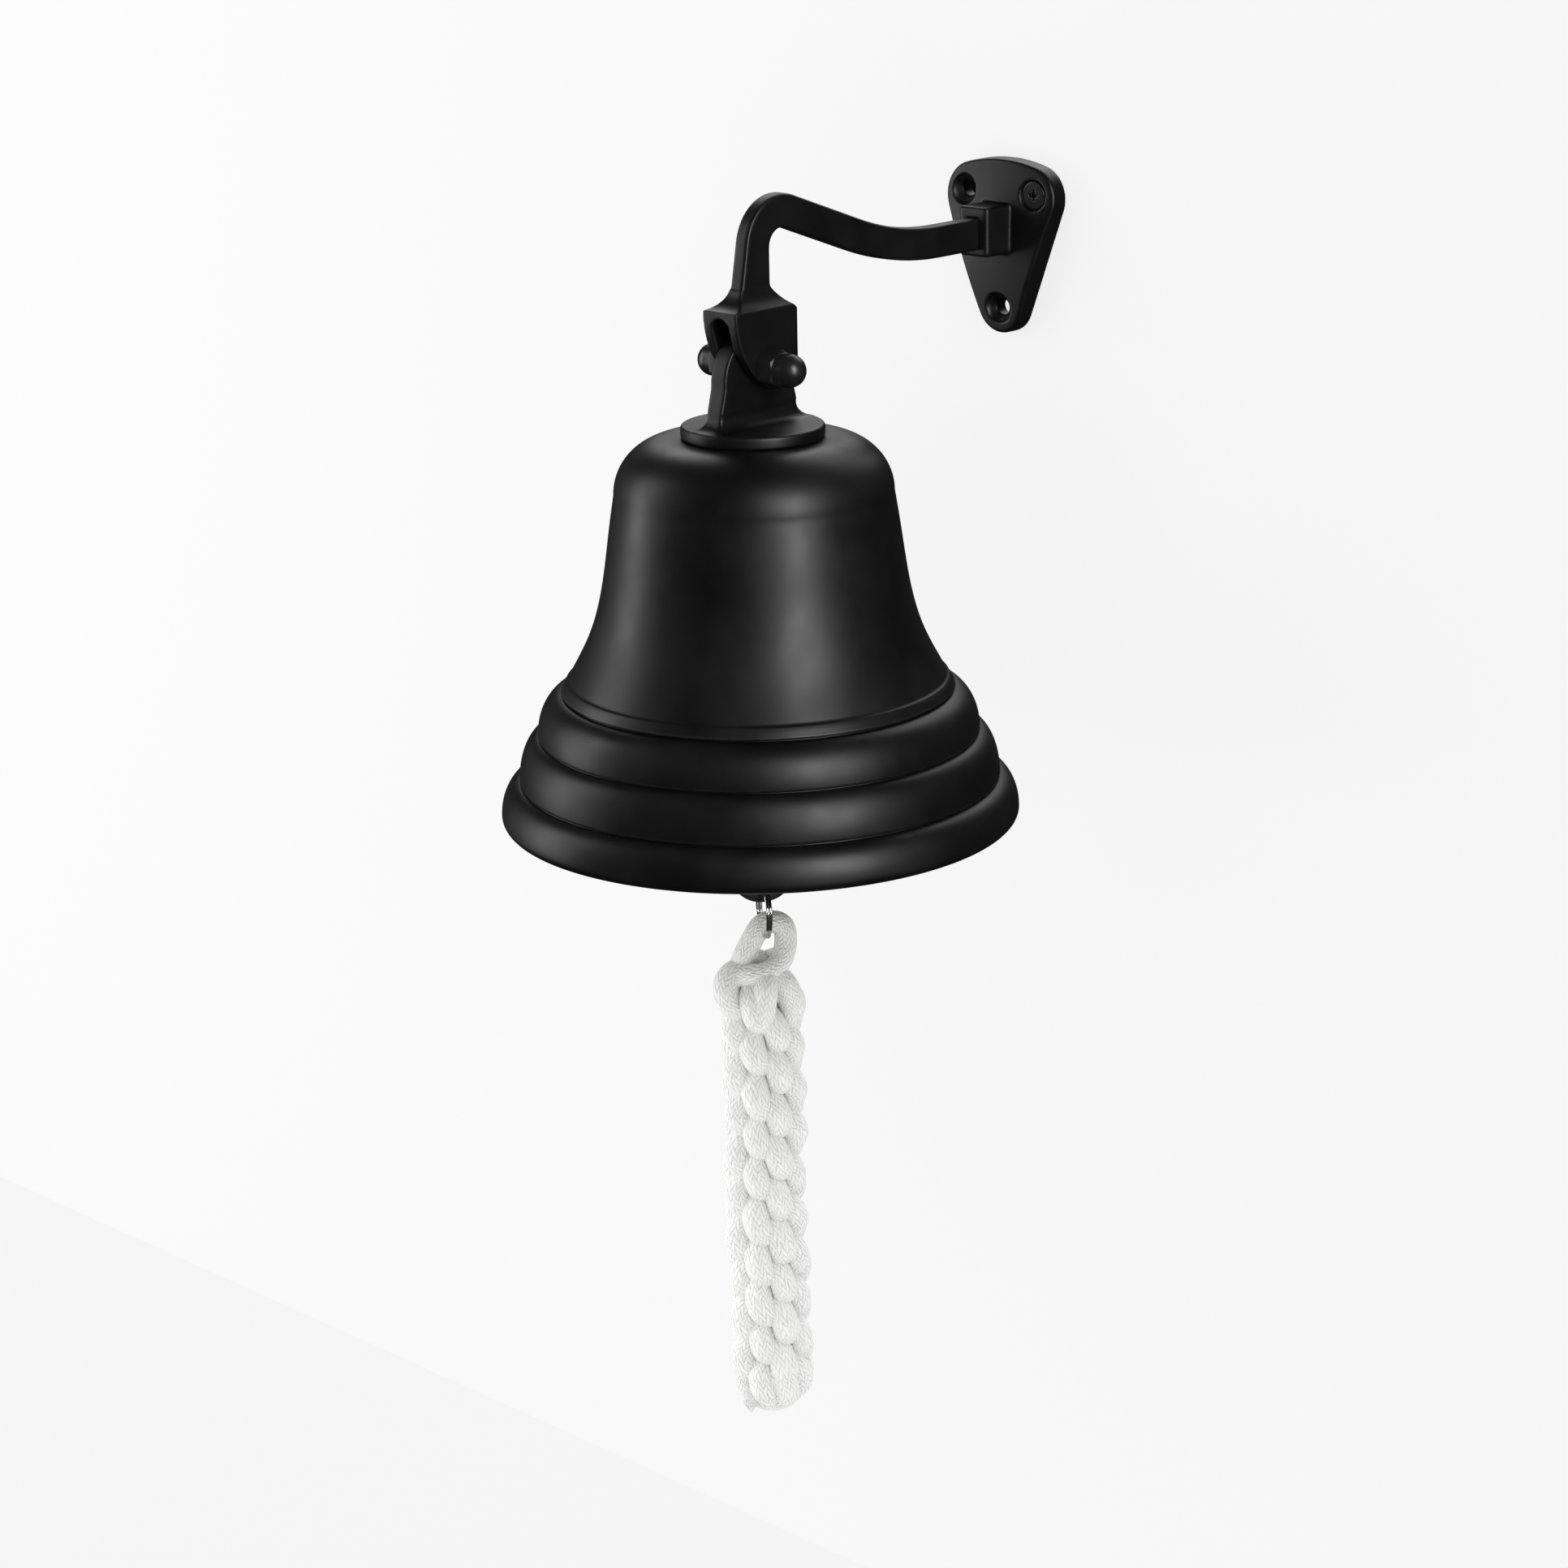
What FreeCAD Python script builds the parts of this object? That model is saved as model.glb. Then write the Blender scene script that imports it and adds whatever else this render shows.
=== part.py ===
import FreeCAD, Part

import math
import os

# Wall-mounted yard dinner bell: a 6 inch bell on a swan-neck bracket, with its
# clapper, split ring and braided lanyard.  Millimetres.
#
# Frame: +Z is up, X runs along the wall and +Y points into the wall.  The wall
# plate's back face lies on y = 0, and the origin is on that face.

V = FreeCAD.Vector
X_AXIS = V(1, 0, 0)
Y_AXIS = V(0, 1, 0)
Z_AXIS = V(0, 0, 1)

# ---- driving dimensions ----------------------------------------------------

# where the bell hangs
BELL_REACH = 115.0             # wall to the bell's axis
PIVOT_Z = -13.6                # pivot bolt's height above the origin
PIVOT_TO_RIM = 133.0           # pivot bolt down to the rim plane
RIM_Z = PIVOT_Z - PIVOT_TO_RIM

# wall plate
PLATE_TOP_Z = 33.0
PLATE_TOP_R = 50.0             # gentle arc across the top
PLATE_CORNER_R = 10.0
PLATE_CORNER_X = 10.9
PLATE_CORNER_Z = 21.6
PLATE_TIP_R = 8.4
PLATE_TIP_Z = -11.4            # centre of the tip's arc
PLATE_CENTRE_THICK = 8.0
PLATE_CROWN_R = 170.0          # radius of the crowned front
PLATE_CROWN_Z = 8.0            # height of the crown's peak
PLATE_EDGE_FILLET = 1.0
SCREW_HOLE_R = 2.4
SCREW_HOLE_X = 13.3
SCREW_HOLE_TOP_Z = 23.0
SCREW_HOLE_BOTTOM_Z = -12.0
SCREW_SINK_R = 4.6
SCREW_SINK_DEPTH = 2.6

# boss on the plate, and the arm's tenon in it
BOSS_HALF_X = 5.6
BOSS_BOTTOM_Z = 5.0
BOSS_TOP_Z = 20.0
BOSS_FRONT_Y = -18.6
BOSS_FILLET = 1.2
TENON_HALF_X = 2.4
TENON_HALF_Z = 4.2
TENON_DEPTH = 9.0
TENON_PLAY = 0.02
TENON_END_GAP = 0.3
ARM_SCREW_R = 2.0
ARM_SCREW_HEAD_R = 3.9
ARM_SCREW_HEAD_H = 2.2
ARM_SCREW_LENGTH = 15.0
ARM_SCREW_POINT = 0.6
ARM_SCREW_SUNK = 0.3           # below the plate's back
ARM_SCREW_SINK_PLAY_R = 0.2
ARM_SCREW_SINK_PLAY_H = 0.6
TAPPED_RUNOUT = 1.5

# swan-neck arm: a flat bar on edge
ARM_HALF_X = 2.5
ARM_HALF_DEPTH = 4.8
ARM_EDGE_FILLET = 0.8
CREST_Y = 11.3                 # crest arc's centre, from the bell's axis
CREST_Z = 32.5                 # crest arc's centre, above the pivot
CREST_R = 10.0
CREST_START_ANGLE = math.radians(174)
CREST_MID_ANGLE = math.radians(145)
FALL_ANGLE = math.radians(19.8)
FALL_END_Y = 43.0              # where the straight fall meets the long sweep
SWEEP_R = 106.0
LEG_HALF_DEPTH = 6.0           # upright leg, where it meets the clevis
LEG_FOOT_Z = 20.0              # above the pivot

# clevis, measured from the pivot
CLEVIS_HALF_X = 6.6
CLEVIS_HALF_Y = 12.6
CLEVIS_TOP_Z = 16.6
CLEVIS_BOTTOM_Z = -6.8
CLEVIS_TOE_MID = (-8.2, 1.6)   # points on the cheek's outline, as (depth, height)
CLEVIS_TOE_END_Y = 2.0
CLEVIS_HEEL_MID = (9.6, -4.2)
CLEVIS_HEEL_TOP_Z = 1.5
CLEVIS_BACK_DROP = 1.0
SLOT_HALF_X = 3.3
SLOT_TOP_Z = 14.6
SHOULDER_TOP_Z = 22.0
SHOULDER_BACK_MID = (9.0, 18.6)
SHOULDER_FRONT_MID = (-8.4, 18.4)
SHOULDER_DIP = 0.6             # how far the shoulders' curve sinks below a straight line

# pivot bolt and its acorn nuts
BOLT_R = 3.0
BOLT_PLAY = 0.05
SEAT_PLAY = 0.02               # fixed pieces in their seats
NUT_FLATS = 10.0
NUT_HEX_H = 5.6
NUT_DOME_R = 4.75
NUT_HEIGHT = 13.0
NUT_CHAMFER = 0.7
BOLT_HALF_LENGTH = 14.0
BOLT_END_GAP = 0.3

# crown lug, in the bell's frame (rim plane at z = 0)
CROWN_Z = 112.4
FLANGE_R = 20.7
FLANGE_H = 3.9
FLANGE_FILLET = 0.5
TAB_HALF_X = 3.0
TAB_R = 13.8
TAB_CENTRE_Z = 129.3
TAB_HALF_Y = 15.6              # just above its flared foot
TAB_FLARE = 5.0
TAB_FLARE_X = 2.4
TAB_FOOT_TRIM = 0.6
TAB_HEAD_END = math.radians(4)
FLARE_MID = (0.25, 0.27)       # how far out and up a flare's middle lies

# bell shell: radius and height of each turning
SHOULDER_R = 40.3
SHOULDER_ARC = 16.0
WAIST = [(41.8, 87.0), (44.2, 71.0), (48.4, 55.5)]
WAIST_FOOT = (54.5, 43.4)
BEAD_FOOT = (56.9, 39.0)
RIB_1_FOOT = (64.4, 26.3)
RIB_2_FOOT = (70.2, 12.8)
GROOVE_IN = 0.6
GROOVE_DOWN = 0.5
MOUTH_R = 75.8
LIP_R = 2.6
MOUTH_INNER_R = 70.6
CROWN_THICK = 4.2
CROWN_HOLE_PLAY = 0.2
INNER_SHOULDER_R = 36.9
INNER_SHOULDER_ARC = 15.0
INNER_WALL = [(40.4, 72.0), (45.2, 55.0), (53.0, 39.5), (60.4, 26.0), (66.2, 12.5)]

# clapper's suspension
SHANK_R = 2.5
SHANK_TOP_Z = 119.0
WASHER_R = 9.0
WASHER_H = 1.4
EYE_WIRE_R = 1.6
EYE_R = 4.2
EYE_Z = 95.0
LINK_WIRE_R = 1.5
LINK_HALF = 3.6
LINK_TOP_Z = 94.2
LINK_BOTTOM_Z = 82.2
HANG_GAP = 0.3
CROWN_NUT_H = 4.8
TAPPED_END_GAP = 0.5
WELD_DEPTH = 0.2               # how far a stem runs into its eye

# clapper
ROD_R = 2.6
ROD_EYE_Z = LINK_BOTTOM_Z + LINK_WIRE_R + EYE_WIRE_R + HANG_GAP - EYE_R
BALL_R = 11.5
BALL_Z = -8.0
TAIL_R = 10.0
TAIL_BOTTOM_Z = -27.4
TAIL_HALF_THICK = 1.8
TAIL_HOLE_R = 2.5
TAIL_HOLE_Z = -21.3
TAIL_EDGE_FILLET = 0.6
ROD_END_GAP = 0.3
CHAIN_TURN = 55.0              # the clapper's facing, about the bell's axis

# split ring and lanyard
RING_WIRE_R = 0.48
RING_R = 7.9
RING_PITCH = 0.92              # spacing of the two turns
RING_Z = -30.4
CORD_R = 3.2
CORD_EYE_R = 5.3
CORD_EYE_Z = -39.6
NECK_TOP_Z = -44.0
NECK_TOP_R = 6.0
BODY_TOP_Z = -57.0
BODY_BOTTOM_Z = -183.0
BODY_R = 12.5
END_BOTTOM_Z = -194.5
END_FILLET = 7.0

# wall screw
HEAD_R = 4.1
HEAD_H = 2.3
WALL_SCREW_R = 2.0
WALL_SCREW_LENGTH = 32.0
WALL_SCREW_POINT = 5.0
WALL_SCREW_SUNK = 0.6          # below the crowned front
SCREW_TIP_R = 0.3
SCREW_HEAD_BAND = 0.3
RECESS_R = 1.7
RECESS_HALF_WIDTH = 0.5
RECESS_DEPTH = 1.3

KAPPA = 0.5523                 # handle length of a quarter ellipse


# ---- helpers ---------------------------------------------------------------

def solid_prism(edges, direction):
    """A closed outline pushed along a direction."""
    return Part.Face(Part.Wire(edges)).extrude(direction)


def turned(edges):
    """A closed half-profile in the XZ plane turned about Z."""
    return Part.Face(Part.Wire(edges)).revolve(V(), Z_AXIS, 360)


def at(profile_point):
    """A (radius, height) pair as a point in the XZ plane."""
    return V(profile_point[0], 0, profile_point[1])


def line(start, end):
    return Part.LineSegment(start, end).toShape()


def arc(start, middle, end):
    return Part.Arc(start, middle, end).toShape()


def polyline(points):
    """Edges through the points and back to the first one."""
    return [line(a, b) for a, b in zip(points, points[1:] + points[:1])]


def centred_arc(centre, radius, start_deg, end_deg, in_plane):
    """An arc about a centre, its angles measured in the plane that in_plane builds."""
    angles = [math.radians(a) for a in (start_deg, (start_deg + end_deg) / 2, end_deg)]
    points = [in_plane(centre[0] + radius * math.cos(a), centre[1] + radius * math.sin(a))
              for a in angles]
    return arc(*points)


def rod(radius, start, end):
    return Part.makeCylinder(radius, (end - start).Length, start, end - start)


def block(low, high):
    return Part.makeBox(high.x - low.x, high.y - low.y, high.z - low.z, low)


def hex_prism(flats, height, base, axis):
    """A hexagonal prism standing on base, along axis."""
    radius = flats / math.sqrt(3)
    corners = [V(radius * math.cos(math.radians(60 * i)), radius * math.sin(math.radians(60 * i)), 0)
               for i in range(6)]
    prism = solid_prism(polyline(corners), V(0, 0, height))
    prism.Placement = FreeCAD.Placement(base, FreeCAD.Rotation(Z_AXIS, axis))
    return prism


def rounded_edges(shape, radius, wanted):
    """Round the edges that the wanted test picks."""
    picked = [edge for edge in shape.Edges if wanted(edge)]
    return shape.makeFillet(radius, picked)


def one_solid(shape):
    """The single solid of a finished piece."""
    cleaned = shape.removeSplitter()
    if len(cleaned.Solids) != 1:
        raise ValueError("expected one solid, found %d" % len(cleaned.Solids))
    return cleaned.Solids[0]


def hang(shape):
    """Move a piece from the bell's own frame to its place under the bracket."""
    return shape.translated(V(0, -BELL_REACH, RIM_Z))


def face_out(shape):
    """Turn a piece of the clapper's chain to its facing, then hang it."""
    return hang(shape.rotated(V(), Z_AXIS, CHAIN_TURN))


# ---- wall plate ------------------------------------------------------------

def on_wall(x, z):
    return V(x, 0, z)


def outer_tangent(upper, upper_r, lower, lower_r):
    """The two points where a line rests on the right of both circles."""
    dx = lower[0] - upper[0]
    dz = lower[1] - upper[1]
    length = math.hypot(dx, dz)
    along = (upper_r - lower_r) / length
    across = math.sqrt(1 - along * along)
    nx = (dx * along - dz * across) / length
    nz = (dz * along + dx * across) / length
    on_upper = (upper[0] + upper_r * nx, upper[1] + upper_r * nz)
    on_lower = (lower[0] + lower_r * nx, lower[1] + lower_r * nz)
    return on_upper, on_lower


def plate_outline():
    """Rounded triangle: wide gentle top, two corners and a round tip."""
    corner = (PLATE_CORNER_X, PLATE_CORNER_Z)
    tip = (0, PLATE_TIP_Z)
    side_top, side_bottom = outer_tangent(corner, PLATE_CORNER_R, tip, PLATE_TIP_R)
    top_centre_z = PLATE_TOP_Z - PLATE_TOP_R
    lean = math.atan2(PLATE_CORNER_X, PLATE_CORNER_Z - top_centre_z)
    shoulder = (PLATE_TOP_R * math.sin(lean), top_centre_z + PLATE_TOP_R * math.cos(lean))
    middle_angle = (math.pi / 2 - lean + math.atan2(side_top[1] - corner[1], side_top[0] - corner[0])) / 2
    bulge = (corner[0] + PLATE_CORNER_R * math.cos(middle_angle),
             corner[1] + PLATE_CORNER_R * math.sin(middle_angle))

    def mirrored(point):
        return on_wall(-point[0], point[1])

    return [
        arc(mirrored(shoulder), on_wall(0, PLATE_TOP_Z), on_wall(*shoulder)),
        arc(on_wall(*shoulder), on_wall(*bulge), on_wall(*side_top)),
        line(on_wall(*side_top), on_wall(*side_bottom)),
        arc(on_wall(*side_bottom), on_wall(0, PLATE_TIP_Z - PLATE_TIP_R), mirrored(side_bottom)),
        line(mirrored(side_bottom), mirrored(side_top)),
        arc(mirrored(side_top), mirrored(bulge), mirrored(shoulder)),
    ]


def crown_front(x, z):
    """Depth of the crowned front below (x, z), as a y value."""
    reach = math.hypot(x, z - PLATE_CROWN_Z)
    return -PLATE_CENTRE_THICK + PLATE_CROWN_R - math.sqrt(PLATE_CROWN_R ** 2 - reach ** 2)


def screw_positions():
    """The three wall-screw holes: top left, top right and bottom."""
    return [(-SCREW_HOLE_X, SCREW_HOLE_TOP_Z), (SCREW_HOLE_X, SCREW_HOLE_TOP_Z), (0, SCREW_HOLE_BOTTOM_Z)]


def countersunk_hole(x, z, hole_r, sink_r, sink_depth, mouth_y, inward):
    """A through hole with a conical sink whose mouth is at mouth_y."""
    hole = rod(hole_r, V(x, 1, z), V(x, BOSS_FRONT_Y, z))
    mouth = V(x, mouth_y - inward, z)
    sink = Part.makeCone(sink_r + sink_depth, hole_r, sink_depth + 1, mouth, V(0, inward, 0))
    throat = rod(sink_r, V(x, mouth_y - 2 * inward, z), V(x, mouth_y + inward * sink_depth, z))
    return hole.fuse(sink.common(throat))


def socket():
    """The arm's seat in the boss."""
    low = V(-TENON_HALF_X - TENON_PLAY, BOSS_FRONT_Y - 1, boss_middle_z() - TENON_HALF_Z - TENON_PLAY)
    high = V(TENON_HALF_X + TENON_PLAY, BOSS_FRONT_Y + TENON_DEPTH, boss_middle_z() + TENON_HALF_Z + TENON_PLAY)
    return block(low, high)


def boss_middle_z():
    return (BOSS_BOTTOM_Z + BOSS_TOP_Z) / 2


def make_wall_plate():
    """Crowned plate with a boss, three countersunk holes and the arm's socket."""
    slab = solid_prism(plate_outline(), V(0, -2 * PLATE_CENTRE_THICK, 0))
    dome = Part.makeSphere(PLATE_CROWN_R, V(0, PLATE_CROWN_R - PLATE_CENTRE_THICK, PLATE_CROWN_Z))
    plate = slab.common(dome)
    plate = rounded_edges(plate, PLATE_EDGE_FILLET, lambda e: e.BoundBox.YMax < -PLATE_EDGE_FILLET)
    boss = block(V(-BOSS_HALF_X, BOSS_FRONT_Y, BOSS_BOTTOM_Z), V(BOSS_HALF_X, -1, BOSS_TOP_Z))
    boss = rounded_edges(boss, BOSS_FILLET, lambda e: e.BoundBox.YMax < -1 - BOSS_FILLET or e.BoundBox.YLength > 1)
    plate = plate.fuse(boss)
    for x, z in screw_positions():
        mouth_y = crown_front(x, z)
        plate = plate.cut(countersunk_hole(x, z, SCREW_HOLE_R, SCREW_SINK_R, SCREW_SINK_DEPTH, mouth_y, 1))
    plate = plate.cut(socket())
    back_hole = countersunk_hole(0, boss_middle_z(), ARM_SCREW_R + SEAT_PLAY,
                                 ARM_SCREW_HEAD_R + ARM_SCREW_SINK_PLAY_R,
                                 ARM_SCREW_HEAD_H + ARM_SCREW_SINK_PLAY_H, 0, -1)
    keep = block(V(-50, BOSS_FRONT_Y + 1, -50), V(50, 2, 50))
    return one_solid(plate.cut(back_hole.common(keep)))


# ---- screws ----------------------------------------------------------------

def countersunk_screw(head_r, head_h, shank_r, length, point_h):
    """A cross-recess screw with its head's face on z = 0, pointing down -Z."""
    profile = [(0, 0), (head_r, 0), (head_r, -SCREW_HEAD_BAND), (shank_r, -head_h),
               (shank_r, -length + point_h), (SCREW_TIP_R, -length), (0, -length)]
    screw = turned(polyline([at(p) for p in profile]))
    for turn in (0, 90):
        arm = block(V(-RECESS_R, -RECESS_HALF_WIDTH, -RECESS_DEPTH), V(RECESS_R, RECESS_HALF_WIDTH, 1))
        screw = screw.cut(arm.rotated(V(), Z_AXIS, turn))
    return screw


def make_wall_screw():
    """The wall screw in the top right hole, its head just inside the sink."""
    screw = countersunk_screw(HEAD_R, HEAD_H, WALL_SCREW_R, WALL_SCREW_LENGTH, WALL_SCREW_POINT)
    x, z = screw_positions()[1]
    seat = V(x, crown_front(x, z) + WALL_SCREW_SUNK, z)
    screw.Placement = FreeCAD.Placement(seat, FreeCAD.Rotation(Z_AXIS, V(0, -1, 0)))
    return one_solid(screw)


def make_arm_screw():
    """The machine screw that holds the arm's tenon, driven from the plate's back."""
    screw = countersunk_screw(ARM_SCREW_HEAD_R, ARM_SCREW_HEAD_H, ARM_SCREW_R, ARM_SCREW_LENGTH, ARM_SCREW_POINT)
    screw.Placement = FreeCAD.Placement(V(0, -ARM_SCREW_SUNK, boss_middle_z()), FreeCAD.Rotation(Z_AXIS, Y_AXIS))
    return one_solid(screw)


# ---- swan-neck arm with its clevis -----------------------------------------

def on_side(y, z):
    """A point of the bracket's side view, measured from the pivot bolt's axis."""
    return V(0, y - BELL_REACH, z + PIVOT_Z)


def arm_edge_points(offset):
    """Where one edge of the arm's fall and sweep starts and ends, offset from the middle line."""
    radius = CREST_R + offset
    fall_start = (CREST_Y + radius * math.sin(FALL_ANGLE), CREST_Z + radius * math.cos(FALL_ANGLE))
    crest_end = (CREST_Y + CREST_R * math.sin(FALL_ANGLE), CREST_Z + CREST_R * math.cos(FALL_ANGLE))
    drop = (FALL_END_Y - crest_end[0]) * math.tan(FALL_ANGLE)
    sweep_centre = (FALL_END_Y + SWEEP_R * math.sin(FALL_ANGLE),
                    crest_end[1] - drop + SWEEP_R * math.cos(FALL_ANGLE))
    sweep_radius = SWEEP_R - offset

    def on_sweep(angle):
        return (sweep_centre[0] - sweep_radius * math.sin(angle), sweep_centre[1] - sweep_radius * math.cos(angle))

    return fall_start, on_sweep(FALL_ANGLE), on_sweep(FALL_ANGLE / 2), on_sweep(0)


def arm_outline():
    """Side view of the bar, from the clevis over the crest to the boss."""
    boss_front = BELL_REACH + BOSS_FRONT_Y
    upper = arm_edge_points(ARM_HALF_DEPTH)
    lower = arm_edge_points(-ARM_HALF_DEPTH)
    outer_r = CREST_R + ARM_HALF_DEPTH
    inner_r = CREST_R - ARM_HALF_DEPTH

    def on_crest(radius, angle):
        return on_side(CREST_Y + radius * math.cos(angle), CREST_Z + radius * math.sin(angle))

    foot_front = on_side(-LEG_HALF_DEPTH, LEG_FOOT_Z)
    leg_front = on_crest(outer_r, CREST_START_ANGLE)
    foot_back = on_side(CREST_Y - inner_r, LEG_FOOT_Z)
    return [
        line(foot_front, leg_front),
        arc(leg_front, on_crest(outer_r, CREST_MID_ANGLE), on_side(*upper[0])),
        line(on_side(*upper[0]), on_side(*upper[1])),
        arc(on_side(*upper[1]), on_side(*upper[2]), on_side(*upper[3])),
        line(on_side(*upper[3]), on_side(boss_front, upper[3][1])),
        line(on_side(boss_front, upper[3][1]), on_side(boss_front, lower[3][1])),
        line(on_side(boss_front, lower[3][1]), on_side(*lower[3])),
        arc(on_side(*lower[3]), on_side(*lower[2]), on_side(*lower[1])),
        line(on_side(*lower[1]), on_side(*lower[0])),
        arc(on_side(*lower[0]), on_crest(inner_r, CREST_MID_ANGLE), on_crest(inner_r, math.pi)),
        line(on_crest(inner_r, math.pi), foot_back),
        line(foot_back, foot_front),
    ]


def clevis_side_outline():
    """Cheek seen from the side: curved toe in front, upright back, sloping shoulders."""
    front = on_side(-CLEVIS_HALF_Y, CLEVIS_TOP_Z)
    bottom = on_side(CLEVIS_TOE_END_Y, CLEVIS_BOTTOM_Z)
    back_low = on_side(CLEVIS_HALF_Y, CLEVIS_HEEL_TOP_Z)
    back_top = on_side(CLEVIS_HALF_Y, CLEVIS_TOP_Z - CLEVIS_BACK_DROP)
    collar_front = on_side(-LEG_HALF_DEPTH, SHOULDER_TOP_Z)
    collar_back = on_side(LEG_HALF_DEPTH, SHOULDER_TOP_Z)
    return [
        arc(front, on_side(*CLEVIS_TOE_MID), bottom),
        arc(bottom, on_side(*CLEVIS_HEEL_MID), back_low),
        line(back_low, back_top),
        arc(back_top, on_side(*SHOULDER_BACK_MID), collar_back),
        line(collar_back, collar_front),
        arc(collar_front, on_side(*SHOULDER_FRONT_MID), front),
    ]


def clevis_front_outline():
    """Clevis seen from the front: upright cheeks, shoulders sweeping in to the bar."""
    def point(x, z):
        return V(x, -BELL_REACH - CLEVIS_HALF_Y - 1, z + PIVOT_Z)

    low = CLEVIS_BOTTOM_Z - 1
    waist = ((CLEVIS_HALF_X + ARM_HALF_X) / 2 - SHOULDER_DIP, (CLEVIS_TOP_Z + SHOULDER_TOP_Z) / 2 - SHOULDER_DIP)
    return [
        line(point(-CLEVIS_HALF_X, low), point(CLEVIS_HALF_X, low)),
        line(point(CLEVIS_HALF_X, low), point(CLEVIS_HALF_X, CLEVIS_TOP_Z)),
        arc(point(CLEVIS_HALF_X, CLEVIS_TOP_Z), point(*waist), point(ARM_HALF_X, SHOULDER_TOP_Z)),
        line(point(ARM_HALF_X, SHOULDER_TOP_Z), point(-ARM_HALF_X, SHOULDER_TOP_Z)),
        arc(point(-ARM_HALF_X, SHOULDER_TOP_Z), point(-waist[0], waist[1]), point(-CLEVIS_HALF_X, CLEVIS_TOP_Z)),
        line(point(-CLEVIS_HALF_X, CLEVIS_TOP_Z), point(-CLEVIS_HALF_X, low)),
    ]


def clevis_slot():
    """The gap between the cheeks, arched at its top."""
    arch_z = SLOT_TOP_Z - SLOT_HALF_X + PIVOT_Z
    front_y = -BELL_REACH - CLEVIS_HALF_Y - 1
    back_y = -BELL_REACH + CLEVIS_HALF_Y + 1
    low = V(-SLOT_HALF_X, front_y, PIVOT_Z + CLEVIS_BOTTOM_Z - 1)
    straight = block(low, V(SLOT_HALF_X, back_y, arch_z))
    return straight.fuse(rod(SLOT_HALF_X, V(0, front_y, arch_z), V(0, back_y, arch_z)))


def make_bracket_arm():
    """Swan-neck bar, clevis with its pin hole, and the tenon for the boss."""
    bar = solid_prism(arm_outline(), V(ARM_HALF_X, 0, 0))
    bar = bar.fuse(bar.mirror(V(), X_AXIS)).removeSplitter()
    bar = rounded_edges(bar, ARM_EDGE_FILLET,
                        lambda e: e.BoundBox.XLength < 0.01 and e.BoundBox.YLength + e.BoundBox.ZLength > 0.1
                        and e.BoundBox.ZMax - PIVOT_Z > LEG_FOOT_Z + 0.1 and e.BoundBox.YMin < BOSS_FRONT_Y - 0.1)
    side = solid_prism(clevis_side_outline(), V(2 * CLEVIS_HALF_X + 2, 0, 0)).translated(V(-CLEVIS_HALF_X - 1, 0, 0))
    front = solid_prism(clevis_front_outline(), V(0, 2 * CLEVIS_HALF_Y + 2, 0))
    arm = bar.fuse(side.common(front))
    arm = arm.cut(clevis_slot())
    pin_reach = CLEVIS_HALF_X + 1
    arm = arm.cut(rod(BOLT_R + SEAT_PLAY, on_side(0, 0) - X_AXIS * pin_reach, on_side(0, 0) + X_AXIS * pin_reach))
    tenon = block(V(-TENON_HALF_X, BOSS_FRONT_Y - 1, boss_middle_z() - TENON_HALF_Z),
                  V(TENON_HALF_X, BOSS_FRONT_Y + TENON_DEPTH - TENON_END_GAP, boss_middle_z() + TENON_HALF_Z))
    arm = arm.fuse(tenon)
    tapped_end = -ARM_SCREW_LENGTH - TAPPED_RUNOUT
    arm = arm.cut(rod(ARM_SCREW_R + SEAT_PLAY, V(0, 1, boss_middle_z()), V(0, tapped_end, boss_middle_z())))
    return one_solid(arm)


# ---- pivot bolt and nuts ---------------------------------------------------

def make_pivot_bolt():
    """Threaded pin through both cheeks and the lug."""
    half = X_AXIS * BOLT_HALF_LENGTH
    return one_solid(rod(BOLT_R, on_side(0, 0) - half, on_side(0, 0) + half))


def make_acorn_nut(side):
    """Acorn nut on one end of the bolt; side is +1 for right and -1 for left."""
    axis = X_AXIS * side
    seat = on_side(0, 0) + axis * CLEVIS_HALF_X
    hexagon = hex_prism(NUT_FLATS, NUT_HEX_H, seat, axis)
    chamfer_r = NUT_FLATS / math.sqrt(3)
    limit = Part.makeCone(chamfer_r + NUT_HEX_H * 2 - NUT_CHAMFER, chamfer_r - NUT_CHAMFER, NUT_HEX_H, seat, axis)
    dome_centre = seat + axis * (NUT_HEIGHT - NUT_DOME_R)
    dome = rod(NUT_DOME_R, seat, dome_centre).fuse(Part.makeSphere(NUT_DOME_R, dome_centre))
    behind = rod(2 * NUT_DOME_R, seat - axis * 2 * NUT_DOME_R, seat)
    nut = hexagon.common(limit).fuse(dome).cut(behind)
    bore_end = on_side(0, 0) + axis * (BOLT_HALF_LENGTH + BOLT_END_GAP)
    return one_solid(nut.cut(rod(BOLT_R + SEAT_PLAY, on_side(0, 0), bore_end)))


# ---- crown lug -------------------------------------------------------------

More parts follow.
